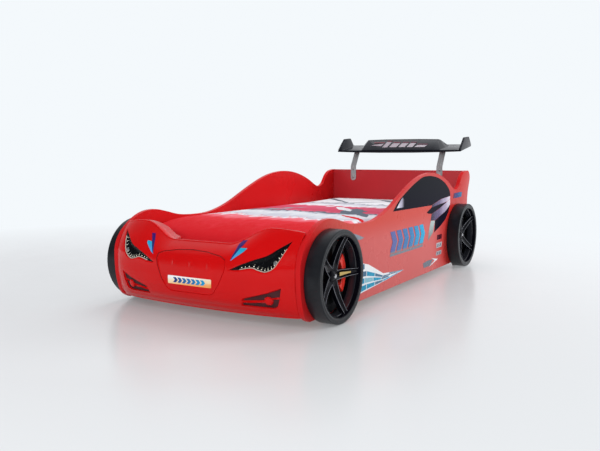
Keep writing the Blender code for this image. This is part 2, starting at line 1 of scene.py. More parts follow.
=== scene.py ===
"""Racing-car bed: the looks of every piece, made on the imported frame.

Metres, +Z up, nose towards -Y.  Places come from the frame's own boxes.  Heights are above
the floor, and "along" is the distance behind the front axle.
"""
import math

import bmesh
import bpy
import numpy as np
from mathutils import Matrix, Vector, geometry


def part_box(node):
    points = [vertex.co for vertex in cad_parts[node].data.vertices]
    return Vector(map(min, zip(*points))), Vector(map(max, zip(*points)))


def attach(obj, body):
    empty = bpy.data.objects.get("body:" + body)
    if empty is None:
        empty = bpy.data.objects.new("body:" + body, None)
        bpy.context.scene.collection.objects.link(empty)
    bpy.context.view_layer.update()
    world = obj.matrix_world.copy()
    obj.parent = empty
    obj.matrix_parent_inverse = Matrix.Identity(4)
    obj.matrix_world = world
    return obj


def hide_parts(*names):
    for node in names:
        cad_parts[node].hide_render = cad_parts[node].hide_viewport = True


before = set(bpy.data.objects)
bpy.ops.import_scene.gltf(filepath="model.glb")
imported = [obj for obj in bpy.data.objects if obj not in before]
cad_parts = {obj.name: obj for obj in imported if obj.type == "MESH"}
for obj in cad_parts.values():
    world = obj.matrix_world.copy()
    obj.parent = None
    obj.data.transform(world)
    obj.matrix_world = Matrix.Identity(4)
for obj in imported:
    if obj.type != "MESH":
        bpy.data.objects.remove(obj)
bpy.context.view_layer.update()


def middle(node):
    low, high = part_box(node)
    return (Vector(low) + Vector(high)) / 2


# ---------------------------------------------------------------- sizes read from the frame
AXLE = {where: middle(f"tyre_{where}_right") for where in ("front", "rear")}
FRONT_Y = AXLE["front"].y
PANEL_IN, PANEL_OUT = [corner[0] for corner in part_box("side_panel_right")]
TYRE_LOW, TYRE_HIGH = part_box("tyre_front_right")
RIM_LOW, RIM_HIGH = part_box("rim_front_right")
NOSE_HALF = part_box("front_fascia")[1][0]
NOSE_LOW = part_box("front_fascia")[0][2]
WHEEL_RADIUS = (TYRE_HIGH[2] - TYRE_LOW[2]) / 2
RIM_RADIUS = (RIM_HIGH[2] - RIM_LOW[2]) / 2
TYRE_WIDTH = TYRE_HIGH[0] - PANEL_OUT

SIDES = (("right", 1), ("left", -1))
SPOKES = 5
VINYL = 0.0004              # thickness of a printed sticker
VINYL_GAP = 0.0003          # clearance between a sticker and what it is stuck on

# ---------------------------------------------------------------- the moulded nose's form
NOSE_PROFILE = [            # height, y at the centre, y beside the panels
    (0.045, -0.215, -0.165), (0.070, -0.245, -0.185), (0.100, -0.268, -0.196),
    (0.140, -0.278, -0.206), (0.180, -0.2795, -0.211), (0.220, -0.278, -0.211),
    (0.250, -0.275, -0.2095), (0.268, -0.270, -0.206),
]
BROW_Z = 0.268
VALLEY_Z, VALLEY_HALF = 0.321, 0.142
HUMP_X, HUMP_Z, HUMP_FALL = 0.330, 0.389, 0.013
EDGE_ROUND = 0.005
LIP_SLOPE, CREST_SLOPE = 1.2, 1.6           # how the face goes on below its foot and above its crest
EASING = ((-0.012, 1), (-0.006, 2), (0.0, 3), (0.006, 2), (0.012, 1))   # height shifts, and their weights

HEADLIGHT_UPPER = [(0.195, 0.227), (0.250, 0.253), (0.300, 0.272), (0.350, 0.290), (0.388, 0.316),
                   (0.431, 0.3445)]
HEADLIGHT_LOWER = [(0.431, 0.3445), (0.420, 0.316), (0.403, 0.275), (0.382, 0.243),
                   (0.350, 0.227), (0.318, 0.232), (0.290, 0.239), (0.240, 0.230), (0.195, 0.227)]


def smooth_curve(points, steps):
    """Catmull-Rom curve through the points, open, with its ends at the first and last."""
    out = []
    last = len(points) - 1
    for i in range(last):
        p0, p1, p2, p3 = (Vector(points[max(0, min(last, i + k))]) for k in (-1, 0, 1, 2))
        for k in range(steps):
            t = k / steps
            blend = (2 * p1 + (p2 - p0) * t + (2 * p0 - 5 * p1 + 4 * p2 - p3) * t ** 2
                     + (3 * p1 - p0 - 3 * p2 + p3) * t ** 3)
            out.append(tuple(blend * 0.5))
    return out + [tuple(points[-1])]


def ease(t):
    t = np.clip(t, 0.0, 1.0)
    return t * t * (3 - 2 * t)


def hump_share(x):
    """0 in the nose's valley, 1 from the crest of each hump outwards."""
    return ease((np.abs(x) - VALLEY_HALF) / (HUMP_X - VALLEY_HALF))


def nose_top(x):
    """Height of the nose's top edge: a valley in the middle and a hump over each light."""
    rise = VALLEY_Z + (HUMP_Z - VALLEY_Z) * hump_share(x)
    fall = HUMP_Z - HUMP_FALL * ((np.abs(x) - HUMP_X) / (PANEL_IN - HUMP_X)) ** 2
    return np.where(np.abs(x) < HUMP_X, rise, fall)


def nose_raw(x, z):
    """y of the nose's face from the front axle, before its creases are eased."""
    out = np.abs(x) / PANEL_IN
    share = 0.8 * out ** 2.2 + 0.2 * out ** 14
    heights, centre, side = zip(*NOSE_PROFILE)
    low = np.interp(z, heights, centre) * (1 - share) + np.interp(z, heights, side) * share
    brow = centre[-1] * (1 - share) + side[-1] * share
    top_y = -0.187 + 0.024 * hump_share(x) + 0.025 * out ** 8
    t = (z - BROW_Z) / (nose_top(x) - BROW_Z)
    high = brow + (top_y - brow) * (0.55 * t + 0.45 * t * t)
    return np.where(z <= BROW_Z, low, high)


def nose_face(x, z):
    """y of the nose's face in the frame, with its creases eased over a few millimetres."""
    x = np.asarray(x, float)
    bottom, top = NOSE_PROFILE[0][0], nose_top(x)
    total = 0.0
    for shift, weight in EASING:
        at = np.asarray(z, float) + shift
        base = nose_raw(x, np.clip(at, bottom, top))
        below, above = np.minimum(at - bottom, 0.0), np.maximum(at - top, 0.0)
        total = total + weight * (base - LIP_SLOPE * below + CREST_SLOPE * above)
    return FRONT_Y + total / sum(weight for _shift, weight in EASING)


# ---------------------------------------------------------------- shader helpers
def plug(tree, socket, value):
    """Link a node's output to a socket, or set the socket's own value."""
    if isinstance(value, bpy.types.NodeSocket):
        tree.links.new(value, socket)
    else:
        socket.default_value = value


def add_node(tree, kind, inputs=None, **props):
    """New node with its properties and its inputs, which go by name or number."""
    node = tree.nodes.new(kind)
    for key, value in props.items():
        setattr(node, key, value)
    for key, value in (inputs or {}).items():
        plug(tree, node.inputs[key], value)
    return node


def scaled(colour, share):
    return tuple(c * share for c in colour)


def opaque(colour):
    return colour if isinstance(colour, bpy.types.NodeSocket) else (*colour, 1.0)


class Shader:
    """A Principled material, with short calls for the nodes that feed it."""

    def __init__(self, name, colour, roughness, **sockets):
        self.mat = bpy.data.materials.new(name)
        self.mat.use_nodes = True
        self.tree = self.mat.node_tree
        self.body = self.tree.nodes["Principled BSDF"]
        self.place = self.node("ShaderNodeTexCoord").outputs["Object"]      # the piece's own metres
        for socket, value in {"Base Color": opaque(colour), "Roughness": roughness, **sockets}.items():
            self.set(socket.replace("_", " "), value)

    def set(self, socket, value):
        plug(self.tree, self.body.inputs[socket], value)

    def node(self, kind, inputs=None, **props):
        return add_node(self.tree, kind, inputs, **props)

    def stretched(self, scale, turn=(0, 0, 0)):
        inputs = {"Vector": self.place, "Scale": scale, "Rotation": turn}
        return self.node("ShaderNodeMapping", inputs).outputs[0]

    def axis(self, name, at=None):
        return self.node("ShaderNodeSeparateXYZ", {"Vector": at or self.place}).outputs[name]

    def noise(self, scale, detail=3.0, rough=0.55, at=None):
        inputs = {"Vector": at or self.place, "Scale": scale, "Detail": detail, "Roughness": rough}
        return self.node("ShaderNodeTexNoise", inputs).outputs["Fac"]

    def maths(self, operation, a, b=0.0):
        return self.node("ShaderNodeMath", {0: a, 1: b}, operation=operation).outputs[0]

    def span(self, value, low, high, to_low=0.0, to_high=1.0):
        """value's range from low to high, mapped to another range and clamped."""
        inputs = {"Value": value, "From Min": low, "From Max": high, "To Min": to_low, "To Max": to_high}
        return self.node("ShaderNodeMapRange", inputs).outputs[0]

    def ramp(self, factor, stops):
        node = self.node("ShaderNodeValToRGB", {"Fac": factor})
        node.color_ramp.interpolation = "EASE"
        while len(node.color_ramp.elements) < len(stops):
            node.color_ramp.elements.new(0.5)
        for element, (at, colour) in zip(node.color_ramp.elements, stops):
            element.position = at
            element.color = opaque(colour)
        return node.outputs[0]

    def mix(self, factor, a, b):
        inputs = {0: factor, 6: opaque(a), 7: opaque(b)}
        return self.node("ShaderNodeMix", inputs, data_type="RGBA").outputs[2]

    def mottled(self, factor, colour, share):
        """A colour that wanders towards a darker one with a noise."""
        return self.mix(self.span(factor, 0.3, 0.7), scaled(colour, share), colour)

    def bump(self, height, strength, distance, under=None):
        inputs = {"Height": height, "Strength": strength, "Distance": distance}
        if under is not None:
            inputs["Normal"] = under
        return self.node("ShaderNodeBump", inputs).outputs[0]


def sprayed(s, roughness):
    """Uneven gloss and faint orange peel, as on sprayed lacquer."""
    s.set("Roughness", s.span(s.noise(7.0, 3.0), 0.2, 0.8, roughness - 0.03, roughness + 0.05))
    s.set("Normal", s.bump(s.noise(14.0, 1.0), 0.05, 0.001))
    return s.mat


def lacquer(name, colour, roughness):
    """Sprayed lacquer on fibreboard."""
    s = Shader(name, colour, roughness, Specular_IOR_Level=0.35)
    s.set("Base Color", s.mottled(s.noise(3.0, 2.0), colour, 0.90))
    return sprayed(s, roughness)


def board_print_and_painted_reflection(name, colour, roughness):
    """Lacquered board whose outer face fades from red to coral: partly print, partly painted reflection of the
    pale surroundings, with painted shade near the rear wheel.
    """
    s = Shader(name, colour, roughness, IOR=1.20)
    low, high, top = (0.60, 0.118, 0.112), (0.59, 0.070, 0.054), (0.54, 0.054, 0.050)
    rear, nose = (0.52, 0.020, 0.016), (0.58, 0.014, 0.016)
    # Coral up the outer face: partly print, partly painted reflection of the pale surroundings seen at
    # glancing angles.
    fade = s.ramp(s.span(s.axis("Z"), 0.04, 0.56), [(0.0, low), (0.45, low), (0.65, high), (0.95, top)])
    # Darker red beside the rear wheel: painted shade, where the tyre keeps that reflection off the panel.
    fade = s.mix(s.span(s.axis("Y"), FRONT_Y + 1.22, FRONT_Y + 1.50), fade, rear)
    # Towards the nose the outer face turns plain red, with no painted reflection.
    fade = s.mix(s.span(s.axis("Y"), FRONT_Y + 0.08, FRONT_Y - 0.15), fade, nose)
    outside = s.span(s.maths("ABSOLUTE", s.axis("X")), PANEL_OUT - 0.0012, PANEL_OUT - 0.0004)
    s.set("Base Color", s.mix(outside, s.mottled(s.noise(3.0, 2.0), colour, 0.92), fade))
    return sprayed(s, roughness)


def moulding(name, colour, roughness, **sockets):
    """Glossy vacuum-formed sheet: slight waviness and fine scuffs."""
    s = Shader(name, colour, roughness, **sockets)
    s.set("Base Color", s.mottled(s.noise(5.0, 2.0), colour, 0.93))
    scuff = s.noise(90.0, 5.0, 0.7, s.stretched((1.0, 1.0, 0.2)))
    s.set("Roughness", s.span(scuff, 0.45, 0.8, roughness, roughness + 0.09))
    wave = s.bump(s.noise(9.0, 1.0), 0.06, 0.004)
    s.set("Normal", s.bump(s.noise(420.0, 2.0), 0.03, 0.0004, wave))
    return s.mat


def grained_plastic(name, colour, roughness, depth, **sockets):
    """Moulded plastic with a fine spark-eroded grain."""
    s = Shader(name, colour, roughness, **sockets)
    light = tuple(c * 1.25 + 0.004 for c in colour)
    s.set("Base Color", s.mix(s.span(s.noise(14.0, 4.0), 0.35, 0.7), colour, light))
    s.set("Roughness", s.span(s.noise(60.0, 3.0), 0.3, 0.7, roughness - 0.06, roughness + 0.08))
    s.set("Normal", s.bump(s.noise(900.0, 2.0), depth, 0.0004))
    return s.mat


def brushed_steel(name, colour, roughness, along="Z", metal=1.0):
    """Steel with brush lines along one axis; a coated part is less metallic."""
    s = Shader(name, colour, roughness, Metallic=metal)
    scale = [0.04 if axis == along else 1 for axis in "XYZ"]
    lines = s.noise(900.0, 4.0, 0.7, s.stretched(scale))
    s.set("Base Color", s.mottled(lines, colour, 0.86))
    s.set("Roughness", s.span(lines, 0.2, 0.8, roughness - 0.08, roughness + 0.12))
    s.set("Normal", s.bump(lines, 0.12, 0.0003))
    return s.mat


def wood(name, light, dark):
    """Planed spruce, its grain along X."""
    s = Shader(name, light, 0.55)
    rings = s.node("ShaderNodeTexWave", {"Vector": s.stretched((1.2, 22.0, 22.0)), "Scale": 0.6,
                                         "Distortion": 5.0, "Detail": 3.0},
                   wave_type="BANDS", bands_direction="Y").outputs["Fac"]
    fibre = s.noise(30.0, 6.0, 0.7, s.stretched((0.6, 30.0, 30.0)))
    tone = s.maths("ADD", s.maths("MULTIPLY", rings, 0.6), s.maths("MULTIPLY", fibre, 0.4))
    between = tuple((a + b) / 2 for a, b in zip(light, dark))
    s.set("Base Color", s.ramp(tone, [(0.15, light), (0.6, between), (0.95, dark)]))
    s.set("Roughness", s.span(fibre, 0.2, 0.8, 0.45, 0.7))
    s.set("Normal", s.bump(fibre, 0.25, 0.0006))
    return s.mat


def print_film(name, stops, axis="Y", low=0.0, high=1.0, roughness=0.25, ior=1.16):
    """Printed vinyl whose colour runs along one axis of the bed."""
    s = Shader(name, stops[0][1], roughness, IOR=ior)
    s.set("Base Color", s.ramp(s.span(s.axis(axis), low, high), stops))
    s.set("Roughness", s.span(s.noise(70.0, 3.0), 0.3, 0.7, roughness - 0.05, roughness + 0.08))
    s.set("Normal", s.bump(s.noise(500.0, 2.0), 0.04, 0.0003))
    return s.mat


def lamp_plastic(name, colour, roughness, grain, least, most, **sockets):
    """Clear or glowing plastic of the headlights, with a slightly uneven gloss."""
    s = Shader(name, colour, roughness, **sockets)
    s.set("Roughness", s.span(s.noise(grain), 0.2, 0.8, least, most))
    return s.mat


MATS = {
    # Side panels: red lacquer, its outer face carrying print with painted reflection and painted shade.
    "panel": board_print_and_painted_reflection("panel_print_and_painted_reflection", (0.62, 0.010, 0.012), 0.27),
    # Headboard and footboard: a darker, duller copy of the boards' red, painted shade for the recessed
    # headboard.
    "head": lacquer("headboard_lacquer_painted_shade", (0.56, 0.028, 0.036), 0.30),
    "nose": moulding("nose_moulding", (0.62, 0.0035, 0.0042), 0.14, IOR=1.30),
    # Dark red: painted shadow line in the nose's grille groove, and the colour of the headboard's screw caps.
    "seam": moulding("groove_shade_and_cap_red", (0.16, 0.002, 0.003), 0.30),
    "pocket": grained_plastic("fog_pocket", (0.060, 0.018, 0.021), 0.45, 0.04, IOR=1.20),
    "tyre": grained_plastic("tyre_plastic", (0.008, 0.0095, 0.0125), 0.34, 0.015, IOR=1.36),
    "rim": moulding("rim_gloss", (0.0035, 0.0035, 0.0070), 0.14, IOR=1.26),
    # Pale grey-blue: painted highlight along the edges of the rim's windows.
    "rim_edge_painted_highlight": moulding("rim_edge_painted_highlight", (0.200, 0.205, 0.235), 0.30, IOR=1.5),
    # Dark grey: painted reflection band inside the rim barrels, and the colour of the control box's seam bead.
    "grey_trim_and_painted_reflection": moulding("grey_trim_and_painted_reflection", (0.022, 0.023, 0.030), 0.16, IOR=1.6),
    "wing": moulding("wing_plastic", (0.006, 0.007, 0.012), 0.17, IOR=1.33),
    "black": grained_plastic("black_plastic", (0.018, 0.018, 0.021), 0.42, 0.10),
    "wood": wood("slat_spruce", (0.66, 0.47, 0.27), (0.44, 0.27, 0.12)),
    "steel": brushed_steel("satin_steel", (0.50, 0.52, 0.53), 0.42, metal=0.45),
    "bolt": brushed_steel("bolt_steel", (0.62, 0.63, 0.65), 0.25, "X"),
    "caliper": moulding("caliper_red", (0.72, 0.030, 0.018), 0.25),
    "gold": brushed_steel("gold_badge", (0.62, 0.44, 0.14), 0.38, "Y", 0.35),
    "reflector": brushed_steel("lamp_reflector", (0.60, 0.66, 0.68), 0.30, "X", 0.5),
    "disc": brushed_steel("brake_disc", (0.05, 0.05, 0.055), 0.35),
    "housing": moulding("headlight_black", (0.003, 0.003, 0.004), 0.12, Specular_IOR_Level=0.22),
    "glow": lamp_plastic("led_glow", (1.0, 0.95, 0.82), 0.30, 200.0, 0.2, 0.4,
                         Emission_Color=(1.0, 0.95, 0.78, 1.0), Emission_Strength=1.8),
    # Pale ledge: its faint glow is painted light falling on it, not a lamp.
    "ledge": lamp_plastic("pale_ledge_painted_glow", (0.66, 0.58, 0.53), 0.30, 200.0, 0.2, 0.4,
                          Emission_Color=(1.0, 0.72, 0.60, 1.0), Emission_Strength=0.42),
    "lens": lamp_plastic("lens_plastic", (0.010, 0.011, 0.013), 0.04, 60.0, 0.02, 0.08, IOR=1.45,
                         Alpha=0.22),
}


# ---------------------------------------------------------------- mesh helpers
def mesh_of(name, bm, *mats):
    mesh = bpy.data.meshes.new(name)
    bm.to_mesh(mesh)
    bm.free()
    for mat in mats:
        mesh.materials.append(mat)
    return mesh


def from_bmesh(name, bm, *mats, closed=True, **options):
    """Make a piece; a closed one gets its faces turned outwards."""
    if closed:
        bmesh.ops.recalc_face_normals(bm, faces=bm.faces)
        if bm.calc_volume(signed=True) < 0:
            bmesh.ops.reverse_faces(bm, faces=bm.faces)
    return settle(name, mesh_of(name, bm, *mats), **options)


def settle(name, mesh, body="frame", nodes=(), slot=None, sharp=35.0):
    """Shade a mesh smooth up to an angle, and let it ride on a body."""
    mesh.shade_smooth()
    mesh.set_sharp_from_angle(angle=math.radians(sharp))
    obj = bpy.data.objects.new(name, mesh)
    bpy.context.scene.collection.objects.link(obj)
    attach(obj, body)
    if nodes:
        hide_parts(*nodes)
    return obj


def modify(obj, name, kind, **settings):
    """Add a modifier and set its values."""
    made = obj.modifiers.new(name, kind)
    for key, value in settings.items():
        setattr(made, key, value)
    return made


def dress(node, mat, bevel=0.0015, segments=3):
    """Keep a CAD node, with softened edges and a proper material."""
    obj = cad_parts[node]
    obj.data.materials.clear()
    obj.data.materials.append(mat)
    obj.data.polygons.foreach_set("material_index", [0] * len(obj.data.polygons))
    obj.data.shade_smooth()
    if bevel:
        modify(obj, "weld", "WELD", merge_threshold=0.00001)
        modify(obj, "bevel", "BEVEL", width=bevel, segments=segments, limit_method="ANGLE",
               angle_limit=math.radians(40), harden_normals=True, use_clamp_overlap=True)


def pairs(loop, closed=True):
    """Each point of a polyline with the next one."""
    return zip(loop, loop[1:] + (loop[:1] if closed else []))


def signed_area(loop):
    return sum(a[0] * b[1] - b[0] * a[1] for a, b in pairs(loop)) / 2


def offset_loop(loop, grow):
    """Closed outline moved outwards by a distance."""
    turn = 1 if signed_area(loop) > 0 else -1
    points = [Vector(p) for p in loop]
    out = []
    for k, p in enumerate(points):
        before = (p - points[k - 1]).normalized()
        after = (points[(k + 1) % len(points)] - p).normalized()
        side = Vector((after.y, -after.x)) * turn
        mitre = (Vector((before.y, -before.x)) * turn + side).normalized()
        out.append(tuple(p + mitre * grow / max(mitre.dot(side), 0.35)))
    return out


def resample(loop, step):
    """Closed row of points, flat or in space, with no gap longer than step."""
    out = []
    for a, b in pairs(loop):
        a, b = Vector(a), Vector(b)
        count = max(1, math.ceil((b - a).length / step))
        out += [tuple(a.lerp(b, k / count)) for k in range(count)]
    return out


def inside(points, loop):
    """Which of the points lie inside a closed outline."""
    x, z = points[:, 0], points[:, 1]
    result = np.zeros(len(points), bool)
    for (x0, z0), (x1, z1) in pairs(loop):
        if z0 != z1:
            result ^= ((z0 > z) != (z1 > z)) & (x < (x1 - x0) * (z - z0) / (z1 - z0) + x0)
    return result


def distance(points, loop, closed=True):
    """Distance from each point to a polyline."""
    best = np.full(len(points), np.inf)
    for a, b in pairs(loop, closed):
        a, b = np.array(a), np.array(b)
        along = b - a
        t = np.clip(((points - a) @ along) / max(along @ along, 1e-12), 0, 1)
        best = np.minimum(best, np.linalg.norm(points - a - t[:, None] * along, axis=1))
    return best


def triangulate(outer, holes=(), lines=(), spacing=0.004):
    """Fill an outline with triangles of about one size, keeping every line as edges.

    Returns the (x, z) places, the triangles, and the outline and holes as rows of vertices.
    """
    loops = [outer, *holes, *lines]
    coords, edges = [], []
    for loop in loops:
        start, count = len(coords), len(loop)
        coords += loop
        edges += [(start + k, start + (k + 1) % count) for k in range(count)]
    xs, zs = zip(*outer)
    grid = np.array([(x + (spacing / 2 if row % 2 else 0), z)
                     for row, z in enumerate(np.arange(min(zs), max(zs), spacing * 0.87))
                     for x in np.arange(min(xs), max(xs), spacing)])
    keep = inside(grid, outer)
    for loop in holes:
        keep &= ~inside(grid, loop)
    for loop in loops:
        keep &= distance(grid, loop) > spacing * 0.5
    coords += [tuple(p) for p in grid[keep]]
    verts, _edges, faces, sources, _e, _f = geometry.delaunay_2d_cdt(
        [Vector(c) for c in coords], edges, [], 0, 1e-6)
    verts = np.array([(v.x, v.y) for v in verts])
    became = {old: new for new, row in enumerate(sources) for old in row}
    rings, start = [], 0
    for loop in (outer, *holes):
        rings.append([became[start + k] for k in range(len(loop))])
        start += len(loop)
    mids = np.array([verts[list(f)].mean(axis=0) for f in faces])
    good = inside(mids, outer)
    for loop in holes:
        good &= ~inside(mids, loop)
    return verts, [f for f, ok in zip(faces, good) if ok], rings


def mirror_loop(loop):
    return [(-x, z) for x, z in reversed(loop)]


def lay_sheet(verts, faces, y):
    """Bmesh of a triangulated sheet with its depths, and its vertices in their order."""
    bm = bmesh.new()
    made = [bm.verts.new((x, deep, z)) for (x, z), deep in zip(verts, y)]
    for f in faces:
        bm.faces.new([made[i] for i in f])
    return bm, made


def wall(bm, low, high):
    """Faces between two rings of vertices."""
    for k in range(len(low)):
        bm.faces.new((low[k - 1], low[k], high[k], high[k - 1]))


def loft(rings, closed=False):
    """Skin over rings of points; the end rings are capped, or joined to each other."""
    bm = bmesh.new()
    rings = [[bm.verts.new(p) for p in ring] for ring in rings]
    if not closed:
        bm.faces.new(rings[0])
        bm.faces.new(rings[-1][::-1])
    for low, high in pairs(rings, closed):
        wall(bm, low, high)
    return bm


def turned(profile, segments, closed=False):
    """Spin a profile of (radius, x) points about the X axis."""
    bm = bmesh.new()
    verts = [bm.verts.new((x, r, 0.0)) for r, x in profile]
    edges = [bm.edges.new(pair) for pair in pairs(verts, closed)]
    bmesh.ops.spin(bm, geom=verts + edges, cent=(0, 0, 0), axis=(1, 0, 0), dvec=(0, 0, 0),
                   angle=math.tau, steps=segments, use_merge=True, use_duplicate=False)
    bmesh.ops.remove_doubles(bm, verts=bm.verts, dist=1e-6)
    return bm


def move(bm, offset, flip=False):
    for v in bm.verts:
        if flip:
            v.co.x = -v.co.x
        v.co += Vector(offset)
    return bm


def join(parts):
    """One bmesh from several."""
    whole = bmesh.new()
    for part in parts:
        mesh = mesh_of("part", part)
        whole.from_mesh(mesh)
        bpy.data.meshes.remove(mesh)
    return whole


def arc(centre, radius, start_deg, end_deg, steps):
    angles = [math.radians(start_deg + (end_deg - start_deg) * k / steps) for k in range(steps + 1)]
    return [(centre[0] + radius * math.cos(a), centre[1] + radius * math.sin(a)) for a in angles]


def rounded_box(x0, x1, z0, z1, radius, steps=5):
    corners = ((x1 - radius, z1 - radius), (x0 + radius, z1 - radius),
               (x0 + radius, z0 + radius), (x1 - radius, z0 + radius))
    out = []
    for k, centre in enumerate(corners):
        out += arc(centre, radius, 90 * k, 90 * k + 90, steps)
    return out


def sweep(points, radius, square_to=(1, 0, 0), sides=6, closed=False):
    """Round bead along a row of points that lies roughly square to an axis."""
    points = [Vector(p) for p in points]
    first, last = points[:1], points[-1:]
    padded = last + points + first if closed else first + points + last
    angles = [math.tau * n / sides for n in range(sides)]
    rings = []
    for before, p, after in zip(padded, points, padded[2:]):
        along = (after - before).normalized()
        across = along.cross(Vector(square_to)).normalized()
        up = across.cross(along)
        rings.append([p + (across * math.cos(a) + up * math.sin(a)) * radius for a in angles])
    return loft(rings, closed)


def dome_head(place, facing, radius):
    """Low domed screw head with a recess, its base at place."""
    profile = [(0.0, 0.30), (0.40, 0.30), (0.44, 0.52), (0.62, 0.46), (0.85, 0.28), (1.0, 0.05),
               (1.0, -0.05), (0.0, -0.05)]
    bm = turned([(r * radius, x * radius) for r, x in profile], 24)
    turn = Vector((1, 0, 0)).rotation_difference(Vector(facing))
    bmesh.ops.rotate(bm, verts=bm.verts, cent=(0, 0, 0), matrix=turn.to_matrix())
    return move(bm, place)


# ---------------------------------------------------------------- camera, light and floor
BACKDROP = (0.905, 0.945, 0.975)
LIGHTS = (      # name, place, target, size, energy
    ("overhead", (-0.6, 1.6, 3.3), (0.1, 0.1, 0.0), (2.8, 2.8), 70),
    ("front_fill", (0.8, -5.0, 2.2), (0.0, -0.6, 0.2), (3.0, 2.4), 92),
    ("side_fill", (6.0, 4.4, 2.7), (0.3, 0.2, 0.3), (3.0, 2.0), 320),
)


def make_camera():
    data = bpy.data.cameras.new("camera")
    data.sensor_width = 36.0
    data.lens = 40.1
    data.clip_end = 100.0
    cam = bpy.data.objects.new("camera", data)
    cam.location = (1.747, FRONT_Y - 2.328, 0.666)
    cam.rotation_euler = Vector((-0.5099, 0.8541, -0.1027)).to_track_quat("-Z", "Y").to_euler()
    bpy.context.scene.collection.objects.link(cam)
    bpy.context.scene.camera = cam


def make_lights():
    """Soft lights, kept out of reflections."""
    for name, place, target, size, energy in LIGHTS:
        data = bpy.data.lights.new(name, "AREA")
        data.shape = "RECTANGLE"
        data.size, data.size_y = size
        data.energy = energy
        light = bpy.data.objects.new(name, data)
        light.location = place
        light.rotation_euler = (Vector(target) - Vector(place)).to_track_quat("-Z", "Y").to_euler()
        light.visible_glossy = False
        bpy.context.scene.collection.objects.link(light)


def make_world():
    """Pale backdrop for the camera, even light for the shapes, and graded light for reflections."""
    world = bpy.data.worlds.new("studio")
    bpy.context.scene.world = world
    world.use_nodes = True
    tree = world.node_tree
    seen = tree.nodes["Background"]
    plug(tree, seen.inputs[0], opaque(BACKDROP))

    def background(colour, strength):
        return add_node(tree, "ShaderNodeBackground", {0: opaque(colour), 1: strength}).outputs[0]

    def choose(factor, a, b):
        return add_node(tree, "ShaderNodeMixShader", {0: factor, 1: a, 2: b}).outputs[0]

    where = add_node(tree, "ShaderNodeTexCoord").outputs["Generated"]
    back = add_node(tree, "ShaderNodeSeparateXYZ", {0: where}).outputs["Y"]
    graded = add_node(tree, "ShaderNodeMapRange", {"Value": back, "From Min": -0.35, "From Max": 0.45,
                                                   "To Min": 0.05, "To Max": 0.85}).outputs[0]
    path = add_node(tree, "ShaderNodeLightPath").outputs
    lit = choose(path["Is Glossy Ray"], background((0.97, 0.98, 1.0), 0.55),
                 background((0.94, 0.96, 1.0), graded))
    whole = choose(path["Is Camera Ray"], lit, seen.outputs[0])
    tree.links.new(whole, tree.nodes["World Output"].inputs[0])


def make_floor():
    """Pale floor that fades into the backdrop away from the bed."""
    s = Shader("floor", (0.545, 0.555, 0.565), 0.22, IOR=1.33, Emission_Color=(0.96, 0.98, 1.0, 1.0),
               Emission_Strength=0.16)
    centre = s.node("ShaderNodeVectorMath", {0: s.place, 1: (0.5, 0.6, 0.0)}).outputs[0]
    far = s.node("ShaderNodeVectorMath", {0: centre}, operation="LENGTH").outputs["Value"]
    glow = s.node("ShaderNodeEmission", {"Color": opaque(BACKDROP), "Strength": 1.0}).outputs[0]
    inputs = {0: s.span(far, 1.5, 3.5), 1: s.body.outputs[0], 2: glow}
    fade = s.node("ShaderNodeMixShader", inputs).outputs[0]
    s.tree.links.new(fade, s.tree.nodes["Material Output"].inputs[0])
    s.set("Roughness", s.span(s.noise(3.0, 3.0), 0.3, 0.7, 0.20, 0.27))
    bm = bmesh.new()
    bmesh.ops.create_circle(bm, cap_ends=True, segments=96, radius=40.0)
    floor = bpy.data.objects.new("floor", mesh_of("floor", bm, s.mat))
    bpy.context.scene.collection.objects.link(floor)
    bpy.context.scene.view_settings.view_transform = "Standard"


# ---------------------------------------------------------------- moulded nose
GRILLE_HALF = [(0.0, 0.290), (0.075, 0.2865), (0.150, 0.2755), (0.172, 0.265), (0.178, 0.246),
               (0.174, 0.222), (0.147, 0.163), (0.118, 0.126), (0.100, 0.118)]
GRILLE = GRILLE_HALF + mirror_loop(GRILLE_HALF[1:])
GRILLE_DEPTH, GRILLE_SLOPE = 0.0050, 0.005
GROOVE_HALF, GROOVE_DEPTH = 0.0013, 0.0030      # moulded line round the grille panel
RIBS, RIB_WIDTH, RIB_HEIGHT = (-0.083, 0.007, 0.096), 0.0060, 0.0045
RIB_LOW, RIB_HIGH, RIB_EASE = 0.216, 0.257, 0.012

FOG_OUTER = [(0.238, 0.086), (0.372, 0.084), (0.392, 0.094), (0.404, 0.125), (0.413, 0.171),
             (0.352, 0.148), (0.252, 0.120), (0.240, 0.104)]
FOG_BAR = [(0.240, 0.108), (0.340, 0.118), (0.342, 0.106), (0.240, 0.098)]
FOG_STUB = [(0.366, 0.128), (0.409, 0.1345), (0.408, 0.1270), (0.366, 0.120)]
FOG_LAMP, FOG_LAMP_RADIUS = (0.357, 0.116), 0.0175
FOG_DEPTH, FOG_SLOPE = 0.010, 0.004

DASH_START, DASH_END, DASH_STEP = (0.289, 0.285), (0.318, 0.309), (0.010, -0.003)
DASH_SIZE = 0.0016          # height and width of the embossed lines above each headlight
CHIN_Z, CHIN_WIDTH, CHIN_DEPTH = 0.078, 0.006, 0.0025

FLANGE_HUMP, FLANGE_VALLEY, FLANGE_SIDE = 0.056, 0.008, 0.018      # depths of the moulding's turned edge
FLANGE_END = 0.345          # beyond this distance out, the top edge turns back only a little
HOLE_GAP, HOLE_DEPTH = 0.0015, 0.010
SHEET = 0.0025              # thickness of the moulding


def headlight_loop(grow):
    """Outline of the +X headlight, anticlockwise, moved outwards by a distance."""
    loop = smooth_curve(HEADLIGHT_LOWER, 5)[:-1] + smooth_curve(HEADLIGHT_UPPER, 5)[:-1]
    return offset_loop(loop[::-1], grow)


def on_side(loop, sign):
    return loop if sign > 0 else mirror_loop(loop)


def both_sides(loops):
    return [on_side(loop, sign) for loop in loops for _side, sign in SIDES]


